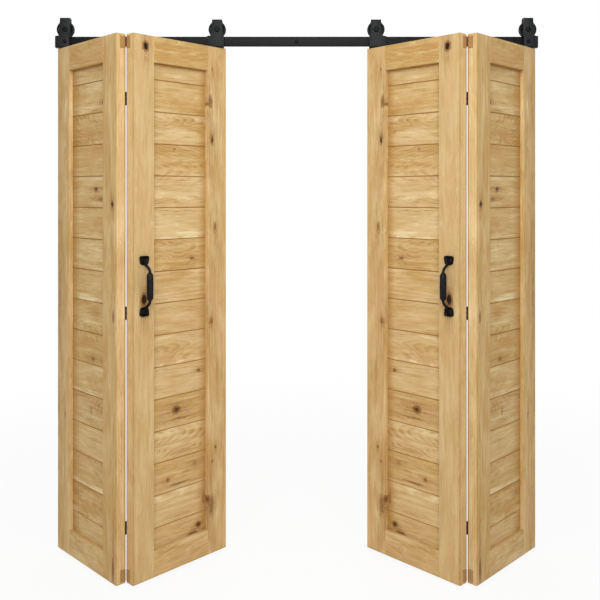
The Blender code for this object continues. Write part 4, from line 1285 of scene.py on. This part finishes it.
class FOLDINGDOOR_OT_handles(bpy.types.Operator):
    """Forge the two pull handles: a bent faceted bar between flared feet"""

    bl_idname = "folding_door.handles"
    bl_label = "Handles"
    bl_options = {"REGISTER", "UNDO"}

    def execute(self, context):
        iron = hammered_iron("handle_iron_fine", context.scene.folding_door.metal.iron)
        pattern = smoothed(joined(self.grip(), self.foot(1), self.foot(-1)), 32)
        for hand in HANDS:
            piece = copied(pattern, f"{hand}_handle_fine")
            place = Matrix.Translation((HANDLE_X, LEAF_FRONT, HANDLE_MIDDLE))
            moved(piece, leaf_matrix(hand, "lead") @ place)
            dressed(piece, f"{hand}_lead_leaf", "handle_iron", iron, f"{hand}_handle")
        scrapped(pattern)
        return {"FINISHED"}

    def grip(self):
        """A curve from foot to foot, drawn thick along the grip, swept with an eight-sided section."""
        foot_end, foot_bend = Vector((0.0043, 0.0860)), Vector((0.0125, 0.0780))
        grip_bend, grip_end = Vector((0.0380, 0.0690)), Vector((0.0380, 0.0530))
        arm = interpolate_bezier(foot_end, foot_bend, grip_bend, grip_end, 9)
        half = [(point.x, point.y, 0.42) for point in arm]
        half += [(0.0381, 0.0480, 0.74), (0.0382, 0.0430, 0.98), (0.0383, 0.0180, 1.02)]
        stations = half + [(0.0383, 0, 1.03)] + [(out, -up, size) for out, up, size in reversed(half)]
        alone()
        bpy.ops.mesh.primitive_circle_add(vertices=8, radius=1)
        section = bpy.context.object
        section.data.transform(Matrix.Rotation(math.pi / 8, 4, "Z"))
        section.data.transform(Matrix.Diagonal((0.0115, 0.0146, 1, 1)))
        bpy.ops.object.convert(target="CURVE")
        alone()
        bpy.ops.curve.primitive_nurbs_path_add()
        line = bpy.context.object
        line.name = "handle_line"
        line.data.splines.clear()
        spline = line.data.splines.new("POLY")
        spline.points.add(len(stations) - 1)
        for point, (out, up, size) in zip(spline.points, stations):
            point.co = (0, -out, up, 1)
            point.radius = size
        line.data.dimensions = "3D"
        line.data.twist_mode = "MINIMUM"
        line.data.bevel_mode = "OBJECT"
        line.data.bevel_object = section
        line.data.use_fill_caps = True
        bpy.ops.object.convert(target="MESH")
        bpy.ops.object.mode_set(mode="EDIT")
        closed(line)
        scrapped(section)
        return eased(line, 0.0012, 2, 34)

    def foot(self, side):
        """A flared foot: a plate narrowed to the arm, its corners rounded and its face crowned."""
        height, width, neck, thickness, corner = 0.034, 0.042, 0.030, 0.0042, 0.0105
        piece = started(
            "handle_foot", bpy.ops.mesh.primitive_cube_add, size=1,
            location=(0, -0.0024, HANDLE_REACH - height / 2),
        )
        bpy.ops.transform.resize(value=(width, thickness, height))
        pick("VERT", lambda place: place.z < 0)
        bpy.ops.transform.resize(value=(neck / width, 1, 1))
        pick("EDGE", lambda place: abs(place.y) < 0.0001)
        bpy.ops.mesh.bevel(offset=corner, segments=7, affect="EDGES")
        pick("FACE", lambda place: place.y < -0.002)
        bpy.ops.mesh.inset(thickness=0.0035)
        bpy.ops.transform.translate(value=(0, -0.0012, 0))
        bpy.ops.mesh.inset(thickness=0.0030)
        bpy.ops.transform.translate(value=(0, -0.0004, 0))
        closed(piece)
        settled(piece)
        eased(piece, 0.0006, 2, 40)
        if side < 0:
            moved(piece, Matrix.Scale(-1, 4, (0, 0, 1)))
        return piece


class FOLDINGDOOR_OT_screws(bpy.types.Operator):
    """Drive the small screws of the hinge plates, top plates and handle feet"""

    bl_idname = "folding_door.screws"
    bl_label = "Small Screws"
    bl_options = {"REGISTER", "UNDO"}

    def execute(self, context):
        oxide = blackened_steel("screw_oxide", context.scene.folding_door.metal.bolt, 0.34)
        flat_head = [(0.0021, -0.0060), (0.0021, -0.0018), (0.0041, -0.0001), (0.0041, 0.0001)]
        domed_head = [
            (0.0021, -0.0040),
            (0.0038, 0),
            (0.0038, 0.0006),
            (0.0033, 0.0014),
            (0.0024, 0.0019),
            (0.0014, 0.0021),
        ]
        flat, domed = self.screw("flat_screw", flat_head), self.screw("domed_screw", domed_head)
        for hand in HANDS:
            for leaf in LEAVES:
                for suffix, (pattern, spot) in self.places(leaf, flat, domed).items():
                    piece = copied(pattern, f"{hand}_{leaf}_{suffix}")
                    moved(piece, leaf_matrix(hand, leaf) @ spot)
                    dressed(piece, f"{hand}_{leaf}_leaf", "bolt_steel", oxide)
        scrapped(flat)
        scrapped(domed)
        return {"FINISHED"}

    def places(self, leaf, flat, domed):
        """Every screw of a leaf: its pattern and how that is placed in the leaf's own frame."""
        to_back = Matrix.Rotation(-math.pi / 2, 4, "X")
        to_front = Matrix.Rotation(math.pi / 2, 4, "X")
        places = {}
        for index, height in enumerate(HINGE_HEIGHTS):
            for side in (-1, 1):
                spot = (HINGE_SCREW_X, LEAF_BACK, height + side * HINGE_SCREW_RISE)
                suffix = f"hinge_{index + 1}_screw_{side + 2}"
                places[suffix] = (flat, Matrix.Translation(spot) @ to_back)
        for side in (-1, 1):
            spot = (PIVOT_X + side * TOP_SCREW_REACH, LEAF_MIDDLE, 0)
            places[f"top_screw_{side + 2}"] = (flat, Matrix.Translation(spot))
            if leaf == "lead":
                height = HANDLE_MIDDLE + side * (HANDLE_REACH - HANDLE_SCREW_INSET)
                spot = (HANDLE_X, LEAF_FRONT - HANDLE_SCREW_SEAT, height)
                places[f"handle_screw_{side + 2}"] = (domed, Matrix.Translation(spot) @ to_front)
        return places

    def screw(self, name, profile):
        """A turned head with a cross recess."""
        reach, half_slot, depth, above = 0.0020, 0.0004, 0.0010, 0.0020
        piece = lathe(name, profile, 20)
        top = profile[-1][1]
        low, high = (-reach, -half_slot, top - depth), (reach, half_slot, top + above)
        across = bar("slot", low, high, 0.0001, 1)
        for angle in (0, math.pi / 2):
            cutter = moved(copied(across, "cutter"), Matrix.Rotation(angle, 4, "Z"))
            applied(piece, "BOOLEAN", object=cutter, operation="DIFFERENCE", solver="EXACT")
            scrapped(cutter)
        scrapped(across)
        return smoothed(piece)


# Each soft lamp's place, width and height, share of the key light's power, and what it faces
LAMPS = {
    "front_light": ((0, -4.6, 0.9), (3.4, 2.2), 1.0, (0, 0, -1.0)),
    "top_light": ((0, -1.6, 2.4), (3.0, 1.6), 0.22, (0, -0.2, -0.6)),
    "back_light": ((0, 4.6, 0.9), (3.4, 2.2), 0.45, (0, 0, -1.0)),
}
FLOOR_GAP = 0.012
FLOOR_WIDTH = 40


class FOLDINGDOOR_OT_stage(bpy.types.Operator):
    """Set the pale floor, the soft lights and the camera"""

    bl_idname = "folding_door.stage"
    bl_label = "Stage, Lights and Camera"
    bl_options = {"REGISTER", "UNDO"}

    def execute(self, context):
        stage = context.scene.folding_door.stage
        self.floor(stage)
        self.room(stage)
        for name, (place, size, share, target) in LAMPS.items():
            self.light(name, place, size, stage.key_power * share, target)
        self.camera(stage)
        context.scene.view_settings.view_transform = "Standard"
        return {"FINISHED"}

    def floor(self, stage):
        """A wide plain floor just below the leaves, white to the camera but for the door's shadow."""
        low = LEAF_TOP - LEAF_HEIGHT - FLOOR_GAP
        floor = started("floor", bpy.ops.mesh.primitive_plane_add, size=1, location=(0, 0, low))
        bpy.ops.transform.resize(value=(FLOOR_WIDTH, FLOOR_WIDTH, 1))
        closed(floor)
        settled(floor)
        finish = Finish("floor_paint", Roughness=0.9, Specular_IOR_Level=0.1)
        grain = finish.noise(finish.place(), 3, 2)
        pale = tuple(stage.floor)
        soft = tuple(channel * 0.97 for channel in pale)
        finish.surface(finish.mix(grain, pale, soft))
        white = finish.node("ShaderNodeEmission", {}, {"Color": (1, 1, 1), "Strength": 1.0})
        from_middle = finish.length(finish.place())
        share = finish.step(from_middle, 2.4, 4.5, 1 - stage.shadow_share, 1)
        mixed = finish.node("ShaderNodeMixShader", {}, {
            0: finish.seen_directly() * share,
            1: Value(finish, finish.shader.outputs[0]),
            2: white,
        })
        finish.feed(finish.tree.nodes["Material Output"].inputs["Surface"], mixed)
        floor.data.materials.append(finish.material)

    def room(self, stage):
        """A white room: plain soft light on the door, plain white to the camera and in reflections."""
        world = bpy.data.worlds.new("white_room")
        world.use_nodes = True
        bpy.context.scene.world = world
        room = Nodes(world.node_tree)
        light, white = [
            room.node("ShaderNodeBackground", {}, {"Color": (1, 1, 1), "Strength": strength})
            for strength in (stage.fill, 1)
        ]
        mixed = room.node("ShaderNodeMixShader", {}, {0: room.seen_directly(), 1: light, 2: white})
        room.feed(room.tree.nodes["World Output"].inputs["Surface"], mixed)

    def light(self, name, place, size, power, target):
        """A broad soft lamp, which the camera doesn't see."""
        alone()
        bpy.ops.object.light_add(type="AREA", location=place)
        lamp = bpy.context.object
        lamp.name = name
        lamp.data.shape = "RECTANGLE"
        lamp.data.size, lamp.data.size_y = size
        lamp.data.energy = power
        lamp.visible_camera = False
        lamp.rotation_euler = (Vector(target) - Vector(place)).to_track_quat("-Z", "Y").to_euler()

    def camera(self, stage):
        """The photograph's view, straight at the door. Its shift gives the photograph's framing."""
        alone()
        place = (0, TRACK_PLANE - stage.distance, LEAF_TOP - stage.eye_drop)
        bpy.ops.object.camera_add(location=place, rotation=(math.pi / 2, 0, 0))
        camera = bpy.context.object
        camera.data.lens = stage.lens
        camera.data.sensor_width = 36
        camera.data.shift_x = stage.shift_across
        camera.data.shift_y = stage.shift_up
        bpy.context.scene.camera = camera


class DoorSettings(bpy.types.PropertyGroup):
    wood: PointerProperty(type=WoodSettings)
    metal: PointerProperty(type=MetalSettings)
    stage: PointerProperty(type=StageSettings)


MAKERS = (
    FOLDINGDOOR_OT_wood,
    FOLDINGDOOR_OT_track,
    FOLDINGDOOR_OT_wall_bolts,
    FOLDINGDOOR_OT_straps,
    FOLDINGDOOR_OT_wheels,
    FOLDINGDOOR_OT_axle_bolts,
    FOLDINGDOOR_OT_pivots,
    FOLDINGDOOR_OT_hinges,
    FOLDINGDOOR_OT_handles,
    FOLDINGDOOR_OT_screws,
    FOLDINGDOOR_OT_stage,
)


class FOLDINGDOOR_PT_panel(bpy.types.Panel):
    """Lists the door's settings and the tools that make its pieces"""

    bl_label = "Folding Door"
    bl_idname = "FOLDINGDOOR_PT_panel"
    bl_space_type = "VIEW_3D"
    bl_region_type = "UI"
    bl_category = "Folding Door"

    def draw(self, context):
        settings = context.scene.folding_door
        groups = {"Wood": settings.wood, "Metal": settings.metal, "Stage": settings.stage}
        for title, group in groups.items():
            box = self.layout.box()
            box.label(text=title)
            for name in group.__annotations__:
                box.prop(group, name)
        for maker in MAKERS:
            self.layout.operator(maker.bl_idname)


CLASSES = (WoodSettings, MetalSettings, StageSettings, DoorSettings, *MAKERS, FOLDINGDOOR_PT_panel)


def register():
    for cls in CLASSES:
        bpy.utils.register_class(cls)
    bpy.types.Scene.folding_door = PointerProperty(type=DoorSettings)


def unregister():
    del bpy.types.Scene.folding_door
    for cls in reversed(CLASSES):
        bpy.utils.unregister_class(cls)


def plain(box):
    """A box of corners as plain lists of numbers."""
    return [[float(number) for number in corner] for corner in box]


def main():
    register()
    for maker in MAKERS:
        group, name = maker.bl_idname.split(".")
        getattr(getattr(bpy.ops, group), name)()


if __name__ == "__main__":
    main()
